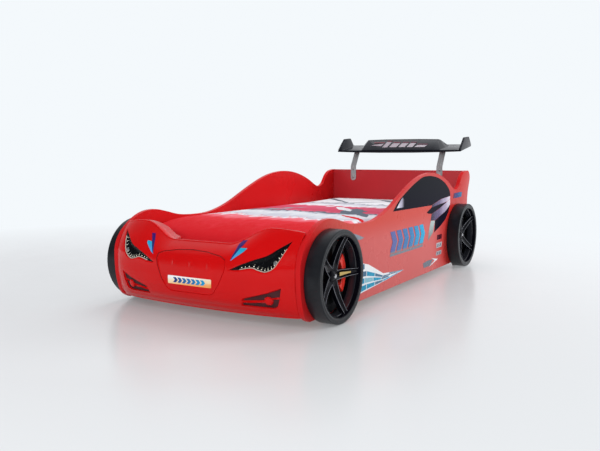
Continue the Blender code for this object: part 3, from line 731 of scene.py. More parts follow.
def folded(p):
    """The (x, z) places with both halves of the nose laid on its +X half."""
    return np.column_stack([np.abs(p[:, 0]), p[:, 1]])


def reach_in(p, loop):
    """Distance in from an outline's edge, and 0 outside it."""
    return np.where(inside(p, loop), distance(p, loop), 0.0)


def lamp_share(half):
    """Distance from a fog lamp's centre as a share of the lamp's radius."""
    return np.hypot(half[:, 0] - FOG_LAMP[0], half[:, 1] - FOG_LAMP[1]) / FOG_LAMP_RADIUS


def ridge(offset, width):
    return np.exp(-(offset / width) ** 2)


def nose_relief(p):
    """How far the moulding is pressed in at each (x, z) place."""
    x, z = p.T
    half = folded(p)
    grille = reach_in(p, GRILLE)
    depth = GRILLE_DEPTH * ease(grille / GRILLE_SLOPE) * (0.35 + 0.65 * ease((z - 0.12) / 0.13))
    depth += GROOVE_DEPTH * np.maximum(0.0, 1 - distance(p, GRILLE) / GROOVE_HALF)
    tall = ease((RIB_HIGH - z) / RIB_EASE) * ease((z - RIB_LOW) / RIB_EASE) * (grille > 0)
    for rib in RIBS:
        depth -= RIB_HEIGHT * ridge(x - rib, RIB_WIDTH) * tall
    bars = np.maximum(reach_in(half, FOG_BAR), reach_in(half, FOG_STUB))
    pocket = FOG_DEPTH * ease(reach_in(half, FOG_OUTER) / FOG_SLOPE) * (1 - 0.75 * ease(bars / 0.0025))
    lamp = lamp_share(half)
    depth += np.where(lamp < 1, np.minimum(pocket, 0.0008 + 0.004 * lamp ** 6), pocket)
    for k in (0, 1):                            # two short embossed lines above each headlight
        ends = [tuple(a + b * k for a, b in zip(end, DASH_STEP)) for end in (DASH_START, DASH_END)]
        depth -= DASH_SIZE * ridge(distance(half, ends, False), DASH_SIZE)
    return depth + CHIN_DEPTH * ridge(z - CHIN_Z, CHIN_WIDTH) * ease((0.40 - half[:, 0]) / 0.05)


def nose_boundary():
    """Outline of the nose's face, a bend radius inside the moulding's real edge."""
    half = NOSE_HALF - EDGE_ROUND
    bottom = [(x, NOSE_LOW + EDGE_ROUND) for x in np.linspace(-half, half, 130)]
    top = [(x, float(nose_top(x)) - EDGE_ROUND) for x in np.linspace(half, -half, 150)]
    right = [(half, z) for z in np.linspace(bottom[-1][1], top[0][1], 50)[1:-1]]
    return bottom + right + top + mirror_loop(right)


def flange_depth(x, on_top):
    """How deep the moulding turns back: deepest on the slope of each hump, thin beyond its crest."""
    if not on_top:
        return FLANGE_SIDE
    if abs(x) <= VALLEY_HALF + 0.004:
        return FLANGE_VALLEY
    share = (FLANGE_END - abs(x)) / (FLANGE_END - VALLEY_HALF)
    return FLANGE_VALLEY + (FLANGE_HUMP - FLANGE_VALLEY) * ease(1.8 * share)


def turn_back(bm, ring, outwards, radius, depth, steps):
    """Bend a sheet's edge loop round a radius and then straight back by depth."""
    bases = [v.co.copy() for v in ring]
    for k in range(steps + 1):
        angle = math.pi / 2 * min(k + 1, steps) / steps
        new = []
        for base, side, deep in zip(bases, outwards, depth):
            spot = base + Vector((side[0], 0, side[1])) * radius * math.sin(angle)
            spot.y += radius * (1 - math.cos(angle)) + (deep if k == steps else 0.0)
            new.append(bm.verts.new(spot))
        wall(bm, ring, new)
        ring = new


def loop_normals(loop, flip=1):
    turn = flip if signed_area(loop) > 0 else -flip
    out = []
    for k in range(len(loop)):
        tangent = (Vector(loop[(k + 1) % len(loop)]) - Vector(loop[k - 1])).normalized()
        out.append((tangent.y * turn, -tangent.x * turn))
    return out


def make_nose():
    """The red moulding: a sheet pressed round the grille and fog pockets, its edges turned back."""
    outer = nose_boundary()
    holes = both_sides([resample(headlight_loop(HOLE_GAP), 0.004)])
    pocket = offset_loop(FOG_OUTER, -0.0035)
    grows = (GROOVE_HALF, 0.0, -GROOVE_HALF, -0.0045)
    lines = [resample(offset_loop(GRILLE, grow), 0.003) for grow in grows]
    lines += both_sides([resample(outline, 0.003) for outline in (FOG_OUTER, pocket, FOG_BAR, FOG_STUB)])
    lines += both_sides([arc(FOG_LAMP, FOG_LAMP_RADIUS, 0, 350, 35)])
    verts, faces, rings = triangulate(outer, holes, lines, 0.0055)
    bm, made = lay_sheet(verts, faces, nose_face(*verts.T) + nose_relief(verts))
    mids = np.array([verts[list(f)].mean(axis=0) for f in faces])
    half = folded(mids)
    dark = inside(half, pocket) & ~inside(half, FOG_BAR) & ~inside(half, FOG_STUB) & (lamp_share(half) > 1)
    # Faces in the groove along the grille's top and left take the dark material: a painted shadow line, left
    # off the right side.
    seam = (distance(mids, GRILLE) < GROOVE_HALF) & ((mids[:, 1] > 0.262) | (mids[:, 0] < -0.14))
    for face, slot in zip(bm.faces, np.where(seam, 2, dark)):
        face.material_index = int(slot)
    sides = loop_normals(outer)
    depth = [flange_depth(x, side[1] > 0.5) for (x, _z), side in zip(outer, sides)]
    turn_back(bm, [made[i] for i in rings[0]], sides, EDGE_ROUND, depth, 4)
    for loop, ring in zip(holes, rings[1:]):
        turn_back(bm, [made[i] for i in ring], loop_normals(loop, -1), HOLE_GAP, [HOLE_DEPTH] * len(loop), 2)
    bmesh.ops.recalc_face_normals(bm, faces=bm.faces)
    if min(bm.faces, key=lambda f: f.calc_center_median().y).normal.y > 0:
        bmesh.ops.reverse_faces(bm, faces=bm.faces)
    shell = from_bmesh("nose_moulding", bm, MATS["nose"], MATS["pocket"], MATS["seam"], closed=False,
                       nodes=["front_fascia"], slot="red_moulding", sharp=32.0)
    modify(shell, "sheet", "SOLIDIFY", thickness=SHEET, offset=-1.0, use_even_offset=False)


def on_nose(name, loop, mat, front, back, spacing, relief=0.0, **options):
    """Thin solid with the given (x, z) outline that follows the nose, and its relief where asked."""
    verts, faces, _rings = triangulate(resample(loop, spacing), spacing=spacing)
    bm, _made = lay_sheet(verts, faces, nose_face(*verts.T) + nose_relief(verts) * relief)
    grown = bmesh.ops.extrude_face_region(bm, geom=bm.faces[:])
    rear = {item for item in grown["geom"] if isinstance(item, bmesh.types.BMVert)}
    for v in bm.verts:
        v.co.y += back if v in rear else front
    from_bmesh(name, bm, mat, **options)


# ---------------------------------------------------------------- headlights
STRIP_INNER, STRIP_TOP = 0.236, 0.317       # the light strip runs between these, along the lower edge
LEDGE = ((0.0029, 0.0012), (0.0054, 0.0040), (0.0085, 0.0012))     # (depth, reach in from the edge)
DOT_PITCH = 0.0160
DOT_ROWS = ((0.0080, 0.0018), (0.0135, 0.0010))                    # (reach in from the edge, radius)


def behind_nose(x, z, deep):
    return (x, float(nose_face(x, z)) + deep, z)


def bowl_depth(reach):
    """How far a headlight's bowl lies behind the nose, at a distance in from its edge."""
    return 0.006 + 0.007 * ease(reach / 0.016)


def make_headlights():
    for side, sign in SIDES:
        loop = on_side(headlight_loop(-0.0008), sign)
        verts, faces, _rings = triangulate(resample(loop, 0.004))
        bm, _made = lay_sheet(verts, faces, nose_face(*verts.T) + bowl_depth(distance(verts, loop)))
        from_bmesh(f"headlight_bowl_{side}", bm, MATS["housing"], closed=False,
                   nodes=[f"headlight_housing_{side}"], slot="black_plastic")
        on_nose(f"headlight_cover_{side}", on_side(headlight_loop(-0.0006), sign), MATS["lens"], 0.0008,
                0.0024, 0.006, nodes=[f"headlight_lens_{side}"], slot="headlight_lens")
        light_strip(side, sign)
        make_reflector(side, sign)


def make_reflector(side, sign):
    """Small satin dish low in the outer part of a headlight."""
    bm = bmesh.new()
    bmesh.ops.create_uvsphere(bm, u_segments=24, v_segments=12, radius=1.0)
    bmesh.ops.scale(bm, verts=bm.verts, vec=(0.0085, 0.0028, 0.0100))
    move(bm, behind_nose(sign * 0.384, 0.262, 0.0092))
    from_bmesh(f"headlight_reflector_{side}", bm, MATS["reflector"], slot="satin_steel")


def light_strip(side, sign):
    """Light strip along the lower edge of a headlight: a pale ledge with a row of dots."""
    points = [Vector(q) for q in reversed(smooth_curve(HEADLIGHT_LOWER, 6))
              if q[0] > STRIP_INNER and q[1] < STRIP_TOP]

    def in_lamp(p, a, b, reach, deep):
        """Place inside the lamp, which lies on the left of the way from a to b."""
        along = (b - a).normalized()
        q = p + Vector((-along.y, along.x)) * reach
        return behind_nose(q.x * sign, q.y, deep)

    rings = [[in_lamp(p, before, after, reach, deep) for deep, reach in LEDGE]
             for before, p, after in zip(points[:1] + points, points, points[1:] + points[-1:])]
    # The ledge's glow is painted light.
    from_bmesh(f"light_ledge_{side}", loft(rings), MATS["ledge"], slot="headlight_lens")
    reached = np.cumsum([0.0] + [(b - a).length for a, b in pairs(points, False)])
    count = round(reached[-1] / DOT_PITCH)
    dots = []
    for n in range(count):
        want = (n + 0.5) * reached[-1] / count
        k = int(np.searchsorted(reached, want)) - 1
        a, b = points[k:k + 2]
        p = a.lerp(b, (want - reached[k]) / (b - a).length)
        for reach, radius in DOT_ROWS:
            dot = bmesh.new()
            bmesh.ops.create_icosphere(dot, subdivisions=2, radius=radius)
            dots.append(move(dot, in_lamp(p, a, b, reach, bowl_depth(reach) - radius * 0.3)))
    from_bmesh(f"light_dots_{side}", join(dots), MATS["glow"], slot="headlight_lens")


# ---------------------------------------------------------------- prints on the nose
BOLTS = {                   # dark and light halves of each stuck-on bolt, as (distance out, height)
    "right": ([(0.2350, 0.3395), (0.2080, 0.3360), (0.1985, 0.3220), (0.2025, 0.3050), (0.2005, 0.2820),
               (0.1990, 0.2620), (0.2215, 0.3120), (0.2275, 0.3225)],
              [(0.2215, 0.3120), (0.2565, 0.3125), (0.2440, 0.2975), (0.1990, 0.2620)]),
    "left": ([(0.2610, 0.3395), (0.2450, 0.3395), (0.2325, 0.3225), (0.2120, 0.2860), (0.2005, 0.2600),
              (0.2385, 0.3085), (0.2480, 0.3220)],
             [(0.2635, 0.3115), (0.2385, 0.3085), (0.2005, 0.2600), (0.2200, 0.2705), (0.2590, 0.3000)]),
}
PLATE_CHEVRONS = 7


def arrow(start, width, point, low, high):
    """Outline of a bar whose two ends both point along."""
    mid = (low + high) / 2
    return [(start, low), (start + width, low), (start + width + point, mid), (start + width, high),
            (start, high), (start + point, mid)]


def leaning_bar(start, width, lean, low, high):
    return [(start, low), (start + width, low), (start + width + lean, high), (start + lean, high)]


def make_nose_prints():
    navy = print_film("bolt_navy", [(0.0, (0.004, 0.035, 0.16)), (1.0, (0.050, 0.010, 0.14))], "Z", 0.27, 0.34)
    sky = print_film("bolt_sky", [(0.0, (0.10, 0.30, 0.66)), (1.0, (0.01, 0.38, 0.58))], "Z", 0.27, 0.31)
    for side, sign in SIDES:
        dark, light = BOLTS[side]
        on_nose(f"bolt_dark_{side}", on_side(dark, sign), navy, -0.0007, -0.0003, 0.003)
        light = on_side(offset_loop(light, -0.0004), sign)
        on_nose(f"bolt_light_{side}", light, sky, -0.0012, -0.0008, 0.003)
    make_plate()


def make_plate():
    """Number plate's printed face, with a row of arrow shapes in place of lettering."""
    (left, _y, bottom), (right, _y, top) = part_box("number_plate")
    film = Shader("plate_print", (0.95, 0.9, 0.85), 0.25, Coat_Weight=0.6)
    slant = film.maths("ADD", film.span(film.axis("Z"), bottom, top, 0.62, 0.0),
                       film.span(film.axis("X"), left, right, 0.25, 0.55))
    film.set("Base Color", film.ramp(slant, [(0.35, (0.92, 0.93, 0.95)), (0.75, (0.95, 0.72, 0.42)),
                                             (1.0, (0.95, 0.38, 0.10))]))
    film.set("Normal", film.bump(film.noise(400.0), 0.05, 0.0003))
    on_nose("plate_film", rounded_box(left, right, bottom, top, 0.004), film.mat, -0.0016, -0.0004, 0.005,
            nodes=["number_plate"], slot="plate_print", relief=1.0)
    blue = print_film("plate_chevrons", [(0.0, (0.03, 0.05, 0.20)), (0.5, (0.03, 0.16, 0.42)),
                                         (1.0, (0.02, 0.32, 0.62))], "X", -0.08, 0.08)
    tall = top - bottom
    for k in range(PLATE_CHEVRONS):
        shape = arrow(-0.083 + 0.0235 * k, 0.016, 0.010, bottom + 0.2 * tall, top - 0.18 * tall)
        on_nose(f"plate_chevron_{k + 1}", shape, blue, -0.0021, -0.0017, 0.005, relief=1.0)


# ---------------------------------------------------------------- wheels
SPOKE_START, SPOKE_END = 0.012, RIM_RADIUS - 0.0042
SPOKE_STEPS = 14
WINDOW_CORNER = 0.0345      # distance from the hub to the corner between two spokes
SHOULDER = 0.0045           # rounding of the tyre's shoulders


def make_wheels():
    for where in ("front", "rear"):
        for side, sign in SIDES:
            tag = f"{where}_{side}"
            hub = (sign * PANEL_OUT, AXLE[where].y, AXLE[where].z)
            make_tyre(tag, hub)
            make_rim(tag, hub, 0.0 if where == "front" else 180.0)
            dress(f"wheel_disc_{tag}", MATS["black"], 0.0008, 2)
            ring = [(0.040, 0.0064), (0.041, 0.0090), (0.119, 0.0090), (0.120, 0.0064)]
            on_hub(f"brake_disc_{tag}", turned(ring, 96, True), "disc", hub)
            if where == "front":
                make_caliper(side, hub)
                make_badge(tag, hub)


def on_hub(name, bm, mat, hub, **options):
    """Set a wheel part, built round the X axis and facing +X, on its hub."""
    from_bmesh(name, move(bm, hub, hub[0] < 0), MATS[mat], **options)


def round_corner(profile, index, radius, steps):
    """Replace one corner of an open profile with an arc-like curve."""
    before, corner, after = (Vector(q) for q in profile[index - 1:index + 2])
    a = corner + (before - corner).normalized() * radius
    b = corner + (after - corner).normalized() * radius
    shares = [k / steps for k in range(steps + 1)]
    curve = [tuple(a * (1 - t) ** 2 + corner * 2 * t * (1 - t) + b * t ** 2) for t in shares]
    return profile[:index] + curve + profile[index + 1:]


def make_tyre(tag, hub):
    """Hollow moulded ring: square shoulders and a fine groove in its outer face."""
    r, w = WHEEL_RADIUS, TYRE_WIDTH
    inner = RIM_RADIUS + 0.0003
    profile = [(inner, 0.0004), (r, 0.0004), (r, w), (inner, w)]
    profile = round_corner(profile, 2, SHOULDER, 6)
    profile = round_corner(profile, 1, SHOULDER, 4)
    groove = [(r - 0.0115, w), (r - 0.0119, w - 0.0010), (r - 0.0129, w - 0.0010), (r - 0.0133, w),
              (inner + 0.0025, w), (inner + 0.0012, w - 0.0006)]
    bm = turned(profile[:-1] + groove + [(inner, w - 0.0020)], 128, True)
    on_hub(f"tyre_moulding_{tag}", bm, "tyre", hub, nodes=[f"tyre_{tag}"], slot="tyre_plastic", sharp=28.0)


def rim_depth(r):
    """Outward place of the spokes' crest at a radius: dished in towards the hub."""
    return 0.028 + 0.031 * (r / SPOKE_END) ** 2.2


def make_rim(tag, hub, turn_deg):
    turns = [math.radians(turn_deg + 360.0 / SPOKES * k) for k in range(SPOKES)]
    parts = [rim_barrel(), *map(spoke, turns), hub_boss()]
    on_hub(f"rim_spokes_{tag}", join(parts), "rim", hub, nodes=[f"rim_{tag}"], slot="rim_plastic", sharp=40.0)
    # Pale beads round each window: painted highlight of light caught on the spokes' edges.
    edge_highlight_beads = [sweep(window_edge(angle), 0.00105) for angle in turns]
    on_hub(f"rim_edges_{tag}", join(edge_highlight_beads), "rim_edge_painted_highlight", hub, slot="rim_plastic")
    # Lighter ring inside the barrel: painted reflection on the barrel's far wall.
    band = [(RIM_RADIUS - 0.0062, 0.052), (RIM_RADIUS - 0.0080, 0.050), (RIM_RADIUS - 0.0105, 0.022),
            (RIM_RADIUS - 0.0090, 0.020)]
    on_hub(f"grey_trim_and_painted_reflection_{tag}", turned(band, 96, True), "grey_trim_and_painted_reflection", hub, slot="rim_plastic")
    cap = [(0.0, 0.0415), (0.0040, 0.0412), (0.0070, 0.0400), (0.0088, 0.0380), (0.0094, 0.0350),
           (0.0094, 0.030), (0.0, 0.030)]
    on_hub(f"hub_nut_{tag}", turned(cap, 40), "bolt", hub, nodes=[f"hub_cap_{tag}"], slot="satin_steel")


def rim_barrel():
    """Outer ring of the rim: a narrow lip, then a deep barrel back to the disc."""
    r, w = RIM_RADIUS, TYRE_WIDTH
    profile = [(r, w - 0.010), (r, w - 0.0016), (r - 0.0008, w - 0.0005), (r - 0.0020, w - 0.0003),
               (r - 0.0030, w - 0.0010), (r - 0.0036, w - 0.0040), (r - 0.0050, w - 0.018),
               (r - 0.0075, w - 0.040), (r - 0.0095, 0.012), (r - 0.0080, 0.0085), (r - 0.0022, 0.0085),
               (r - 0.0012, 0.016)]
    return turned(profile, 128, True)


def hub_boss():
    profile = [(0.0, 0.0335), (0.014, 0.0335), (0.0165, 0.0322), (0.0205, 0.0300), (0.0245, 0.0262),
               (0.0255, 0.014), (0.0, 0.014)]
    return turned(profile, 60)


def spoke_half(r):
    """Half the width of a spoke at a distance from the hub."""
    t = (r - 0.030) / (SPOKE_END - 0.030)
    return 0.0126 + 0.0078 * (1 - max(0.0, min(1.0, t))) ** 1.3


def spoke(angle):
    """A spoke with a raised edge along each side and a valley between them."""
    rings = []
    for k in range(SPOKE_STEPS + 1):
        t = k / SPOKE_STEPS
        r = SPOKE_START + (SPOKE_END - SPOKE_START) * t
        half = min(spoke_half(r), 0.006 + r * 0.55)
        crest = rim_depth(r)
        valley = crest - 0.0050 - 0.003 * math.sin(math.pi * t)
        edge = [(half * 0.45, valley), (half - 0.0022, crest), (half - 0.0006, crest),
                (half, crest - 0.0012), (half + 0.0010, crest - 0.0150 - 0.004 * t)]
        rings.append([(x, r * math.cos(angle) - v * math.sin(angle), r * math.sin(angle) + v * math.cos(angle))
                      for v, x in mirror_loop(edge) + edge])
    return loft(rings)


def window_edge(angle):
    """Edge of the opening that follows a spoke: in along it, round, and out along the next."""
    half_gap = math.pi / SPOKES
    leg = []
    for k in range(11):
        r = SPOKE_END - (SPOKE_END - 0.040) * k / 10
        v = spoke_half(r) - 0.0008
        leg.append((math.hypot(r, v), math.atan2(v, r)))
    leg += [(WINDOW_CORNER + 0.0035, half_gap * 0.80), (WINDOW_CORNER, half_gap)]
    path = leg + [(r, 2 * half_gap - a) for r, a in reversed(leg[:-1])]
    return [(rim_depth(r) + 0.0003, r * math.cos(angle + a), r * math.sin(angle + a)) for r, a in path]


def make_badge(tag, hub):
    """Gold badge lying in the rear-pointing spoke of a front wheel."""
    rings = []
    for k in range(7):
        r = 0.052 + 0.071 * k / 6
        half = 0.0078 - 0.0048 * k / 6
        x = rim_depth(r) - 0.0010
        section = ((x - 0.0012, -half), (x, -half), (x + 0.0003, 0.0), (x, half), (x - 0.0012, half))
        rings.append([(out, r, v) for out, v in section])
    on_hub(f"spoke_badge_{tag}", loft(rings), "gold", hub, slot="plate_print")


def make_caliper(side, hub):
    """Curved red block with a softened outer edge, in the rear half of a front wheel."""
    outline = arc((0, 0), 0.121, -41, 41, 20) + arc((0, 0), 0.080, 39, -39, 16)
    levels = ((0.0095, 0.0), (0.0200, 0.0), (0.0225, -0.0015), (0.0235, -0.004))
    bm = loft([[(x, *p) for p in offset_loop(outline, grow)] for x, grow in levels])
    bmesh.ops.triangulate(bm, faces=[f for f in bm.faces if len(f.verts) > 4])
    on_hub(f"caliper_{side}", bm, "caliper", hub, nodes=[f"brake_caliper_{side}"], slot="caliper_red")


# ---------------------------------------------------------------- boards, base, fittings
DRESSED = {                 # material, edge rounding and its steps, by the start of a node's name
    "side_panel": ("panel", 0.0030, 4), "headboard": ("head", 0.0015, 3), "footboard": ("head", 0.0015, 3),
    "slat_": ("wood", 0.0020, 3), "centre_rail": ("wood", 0.0020, 3), "foot_front": ("black", 0.0008, 2),
    "foot_rear": ("black", 0.0008, 2), "centre_leg": ("black", 0.0008, 2),
    "corner_bracket": ("steel", 0.0006, 2), "spoiler_bracket": ("steel", 0.0006, 2),
    "spoiler_wing": ("wing", 0.0035, 4), "light_control_box": ("black", 0.0020, 3),
    "rocker_switch": ("rim", 0.0006, 2), "headlight_lead": ("black", 0.0, 0),
}
SCREW_SINK = 0.0026         # thickness of a steel angle's leg, on which its screw heads sit
SCREW_IN = 0.014            # from an angle's outer edge to its screws


def make_boards():
    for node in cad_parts:
        for start, (mat, bevel, segments) in DRESSED.items():
            if node.startswith(start):
                dress(node, MATS[mat], bevel, segments)
    make_bracket_screws()
    make_angle_screws()
    make_board_caps()
    make_box_details()
    make_wing_details()


def make_bracket_screws():
    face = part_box("headboard")[0][1] - 0.0033
    for side, _sign in SIDES:
        x = middle(f"spoiler_bracket_{side}").x
        heads = [dome_head((x, face, z), (0, -1, 0), 0.0060) for z in (0.521, 0.574)]
        from_bmesh(f"bracket_screws_{side}", join(heads), MATS["bolt"], slot="satin_steel")


def make_angle_screws():
    """Two screw heads on each leg of the steel angles in the corners."""
    for where, way in (("front", 1), ("rear", -1)):
        for side, sign in SIDES:
            low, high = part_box(f"corner_bracket_{where}_{side}")
            (inner_x, wall_x), (wall_y, inner_y) = (low[0], high[0])[::sign], (low[1], high[1])[::way]
            heads = []
            for z in (low[2] + 0.011, high[2] - 0.011):
                across = (inner_x + sign * SCREW_IN, wall_y + way * SCREW_SINK, z)
                along = (wall_x - sign * SCREW_SINK, inner_y - way * SCREW_IN, z)
                heads += [dome_head(across, (0, way, 0), 0.0042), dome_head(along, (-sign, 0, 0), 0.0042)]
            from_bmesh(f"angle_screws_{where}_{side}", join(heads), MATS["bolt"], slot="satin_steel")


def make_board_caps():
    """Caps over the screws at the back of the headboard."""
    low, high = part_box("headboard")
    profile = [(0.0, 0.0014), (0.0052, 0.0013), (0.0070, 0.0008), (0.0075, 0.0), (0.0075, -0.0005),
               (0.0, -0.0005)]
    quarter = Matrix.Rotation(math.pi / 2, 3, "Z")
    caps = []
    for x in (low[0] + 0.045, high[0] - 0.045):
        for z in (0.10, 0.30, 0.50):
            cap = turned(profile, 32)
            bmesh.ops.rotate(cap, verts=cap.verts, cent=(0, 0, 0), matrix=quarter)
            caps.append(move(cap, (x, high[1] + 0.0004, z)))
    from_bmesh("headboard_caps", join(caps), MATS["seam"], slot="red_lacquer")


def make_box_details():
    """Cover seam, screws, bezel and pilot lamp of the light's control box."""
    (left, _y, bottom), (right, back, top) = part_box("light_control_box")
    mid = middle("light_control_box")

    def bead(name, x0, x1, z0, z1, corner, lift, radius, mat):
        path = [(x, back + lift, z) for x, z in rounded_box(x0, x1, z0, z1, corner)]
        ring = sweep(path, radius, square_to=(0, 1, 0), closed=True)
        from_bmesh(name, ring, MATS[mat], slot="black_plastic")

    bead("box_seam", left + 0.004, right - 0.004, bottom + 0.004, top - 0.004, 0.004, 0.0002,
         0.0006, "grey_trim_and_painted_reflection")
    heads = [dome_head((x, back + 0.0002, z), (0, 1, 0), 0.0026)
             for x in (left + 0.009, right - 0.009) for z in (bottom + 0.009, top - 0.009)]
    from_bmesh("box_screws", join(heads), MATS["bolt"], slot="satin_steel")
    bead("rocker_bezel", mid.x - 0.0105, mid.x + 0.0105, mid.z - 0.0145, mid.z + 0.0145, 0.002, 0.0004,
         0.0011, "rim")
    pilot = dome_head((mid.x + 0.028, back + 0.0001, mid.z), (0, 1, 0), 0.0030)
    from_bmesh("pilot_lamp", pilot, MATS["caliper"], slot="black_plastic")


# ---------------------------------------------------------------- spoiler
FLAP_LOW, FLAP_HIGH = (1.842, 0.708), (1.956, 0.7825)       # (along, height) of the flap's two edges
FLAP_LEAN, FLAP_GAP = 0.012, 0.0009
FLAP_BARS = (               # (left, width, low, high) as places across and shares of the flap
    (-0.205, 0.080, 0.36, 0.60), (-0.112, 0.036, 0.24, 0.74), (-0.062, 0.052, 0.26, 0.62),
    (0.004, 0.046, 0.26, 0.62), (0.064, 0.040, 0.26, 0.62), (0.118, 0.070, 0.26, 0.44),
)
WING_RIBS, WING_RIB_RADIUS = (0.4275, 0.4345), 0.0009


def flap_sticker(name, corners, mat):
    """Printed shape on the flap, from (across, share of the flap) places."""
    deep, tall = FLAP_HIGH[0] - FLAP_LOW[0], FLAP_HIGH[1] - FLAP_LOW[1]
    base = Vector((0, FRONT_Y + FLAP_LOW[0], FLAP_LOW[1]))
    slope = Vector((0, -tall, deep)).normalized()
    rings = [[base + Vector((x, deep * share, tall * share)) + slope * lift for x, share in corners]
             for lift in (FLAP_GAP, FLAP_GAP + VINYL)]
    from_bmesh(name, loft(rings), mat, slot="plate_print")


def make_wing_details():
    """Plain bars printed on the spoiler's flap, and two ribs on each end plate."""
    pale = print_film("flap_pale", [(0.0, (0.34, 0.29, 0.33)), (1.0, (0.42, 0.38, 0.42))], "X", -0.2, 0.2)
    rose = print_film("flap_rose", [(0.0, (0.22, 0.06, 0.08)), (1.0, (0.16, 0.06, 0.09))], "X", -0.2, 0.2)
    for k, (x, width, low, high) in enumerate(FLAP_BARS):
        corners = leaning_bar(x, width, FLAP_LEAN, low, high)
        if k == 0:                              # the first bar tapers to a point
            corners = [(x, (low + high) / 2 - 0.04)] + corners[1:3]
        flap_sticker(f"flap_bar_{k + 1}", corners, pale)
        line = leaning_bar(x + FLAP_LEAN, width, 0.0, high + 0.05, high + 0.11)
        flap_sticker(f"flap_line_{k + 1}", line, rose)
    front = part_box("spoiler_wing")[0][1] + 0.0010
    drop = WING_RIB_RADIUS * 0.3                # so that most of a rib stands proud
    path = ((front, 0.712), (FRONT_Y + 1.933, 0.7875), (FRONT_Y + 2.018, 0.7944))
    for side, sign in SIDES:
        ribs = [sweep([(sign * x, y, z - drop) for y, z in path], WING_RIB_RADIUS) for x in WING_RIBS]
        from_bmesh(f"wing_ribs_{side}", join(ribs), MATS["wing"], slot="wing_plastic")


# ---------------------------------------------------------------- printed stickers on the side panels
WINDOW_TOP = [(0.662, 0.402), (0.700, 0.428), (0.750, 0.456), (0.860, 0.499), (0.950, 0.529),
              (1.045, 0.554), (1.110, 0.5605), (1.180, 0.560), (1.245, 0.555), (1.310, 0.545),
              (1.372, 0.530), (1.430, 0.510), (1.478, 0.486), (1.508, 0.463), (1.520, 0.440)]
WINDOW_LOW = [(1.515, 0.4340), (1.360, 0.4250), (1.225, 0.4030), (1.210, 0.3980)]
UPPER_BAND = [(1.212, 0.3975), (1.226, 0.4020), (1.360, 0.4240), (1.516, 0.4335), (1.518, 0.4180),
              (1.455, 0.4040), (1.330, 0.3960), (1.204, 0.3860)]
BLACK_SLIVER = [(1.130, 0.3640), (1.203, 0.3855), (1.330, 0.3955), (1.462, 0.4035), (1.330, 0.3720),
                (1.205, 0.3510), (1.150, 0.3560)]
LOWER_BAND = [(1.206, 0.3500), (1.330, 0.3710), (1.464, 0.4030), (1.519, 0.4170), (1.519, 0.3830),
              (1.440, 0.3500), (1.330, 0.3260), (1.262, 0.3100), (1.194, 0.3140)]
LOWER_BLACK = [(1.263, 0.3090), (1.330, 0.3250), (1.440, 0.3490), (1.519, 0.3820), (1.490, 0.3400),
               (1.440, 0.3020), (1.350, 0.2690), (1.254, 0.2440)]
INTAKE_STRIP = [(1.194, 0.3130), (1.261, 0.3085), (1.231, 0.2450), (1.156, 0.2060), (1.164, 0.2575)]
WINDOW_GLARE = [(0.705, 0.4140), (0.752, 0.4480), (0.778, 0.4640), (0.800, 0.4520), (0.798, 0.4140)]
FRONT_WEDGE = [(0.2350, 0.3370), (0.2700, 0.3290), (0.3420, 0.3075), (0.2940, 0.3030), (0.2300, 0.3150)]
VENT_WEDGE = [(1.084, 0.0900), (1.150, 0.0960), (1.240, 0.0935), (1.196, 0.0640), (1.096, 0.0625)]
VENT_STROKE = [(1.215, 0.1010), (1.322, 0.0850), (1.165, 0.0560), (1.268, 0.0840)]
FIN_BAR = [(1.588, 0.4470), (1.744, 0.4490), (1.738, 0.4190), (1.578, 0.4160)]
SHAPES = (                  # name, outline, film, layer
    ("window", smooth_curve(WINDOW_TOP, 3) + WINDOW_LOW, "black", 0),
    ("window_glare", WINDOW_GLARE, "glare", 1),
    ("band_upper", UPPER_BAND, "lilac", 0), ("sliver", BLACK_SLIVER, "black", 0),
    ("band_lower", LOWER_BAND, "lilac", 0), ("window_low", LOWER_BLACK, "black", 0),
    ("intake_strip", INTAKE_STRIP, "strip", 0), ("front_wedge", FRONT_WEDGE, "slate", 0),
    ("vent_wedge", VENT_WEDGE, "slate", 0), ("vent_stroke", VENT_STROKE, "white", 1),
    ("fin_bar", FIN_BAR, "fin", 0),
)
TAILS = (                   # along, top, width, height, film, stripes
    (1.302, 0.2225, 0.078, 0.0275, "maroon", 0), (1.292, 0.1770, 0.090, 0.0280, "badge", 2),
    (1.290, 0.1290, 0.088, 0.0230, "badge", 2),
)

SPLASH_TOP = [(0.262, 0.2020), (0.327, 0.1955), (0.388, 0.1820), (0.470, 0.1500), (0.555, 0.1160),
              (0.805, 0.0975)]
SPLASH_LOW = [(0.262, 0.0590), (0.306, 0.0630), (0.400, 0.0685), (0.500, 0.0740), (0.600, 0.0800),
              (0.805, 0.0965)]
SPLASH_ROWS = ("SWWWSS", "SCSSSC", "CTCSWC", "CCSCCW")
SPLASH_FILMS = {"S": "steel", "C": "cyan", "T": "teal"}     # a W cell is bare white

CHEVRONS, CHEVRON_START, CHEVRON_PITCH, CHEVRON_WIDTH, CHEVRON_POINT = 6, 0.632, 0.077, 0.056, 0.030
CHEVRON_LOW, CHEVRON_HIGH = 0.206, 0.305

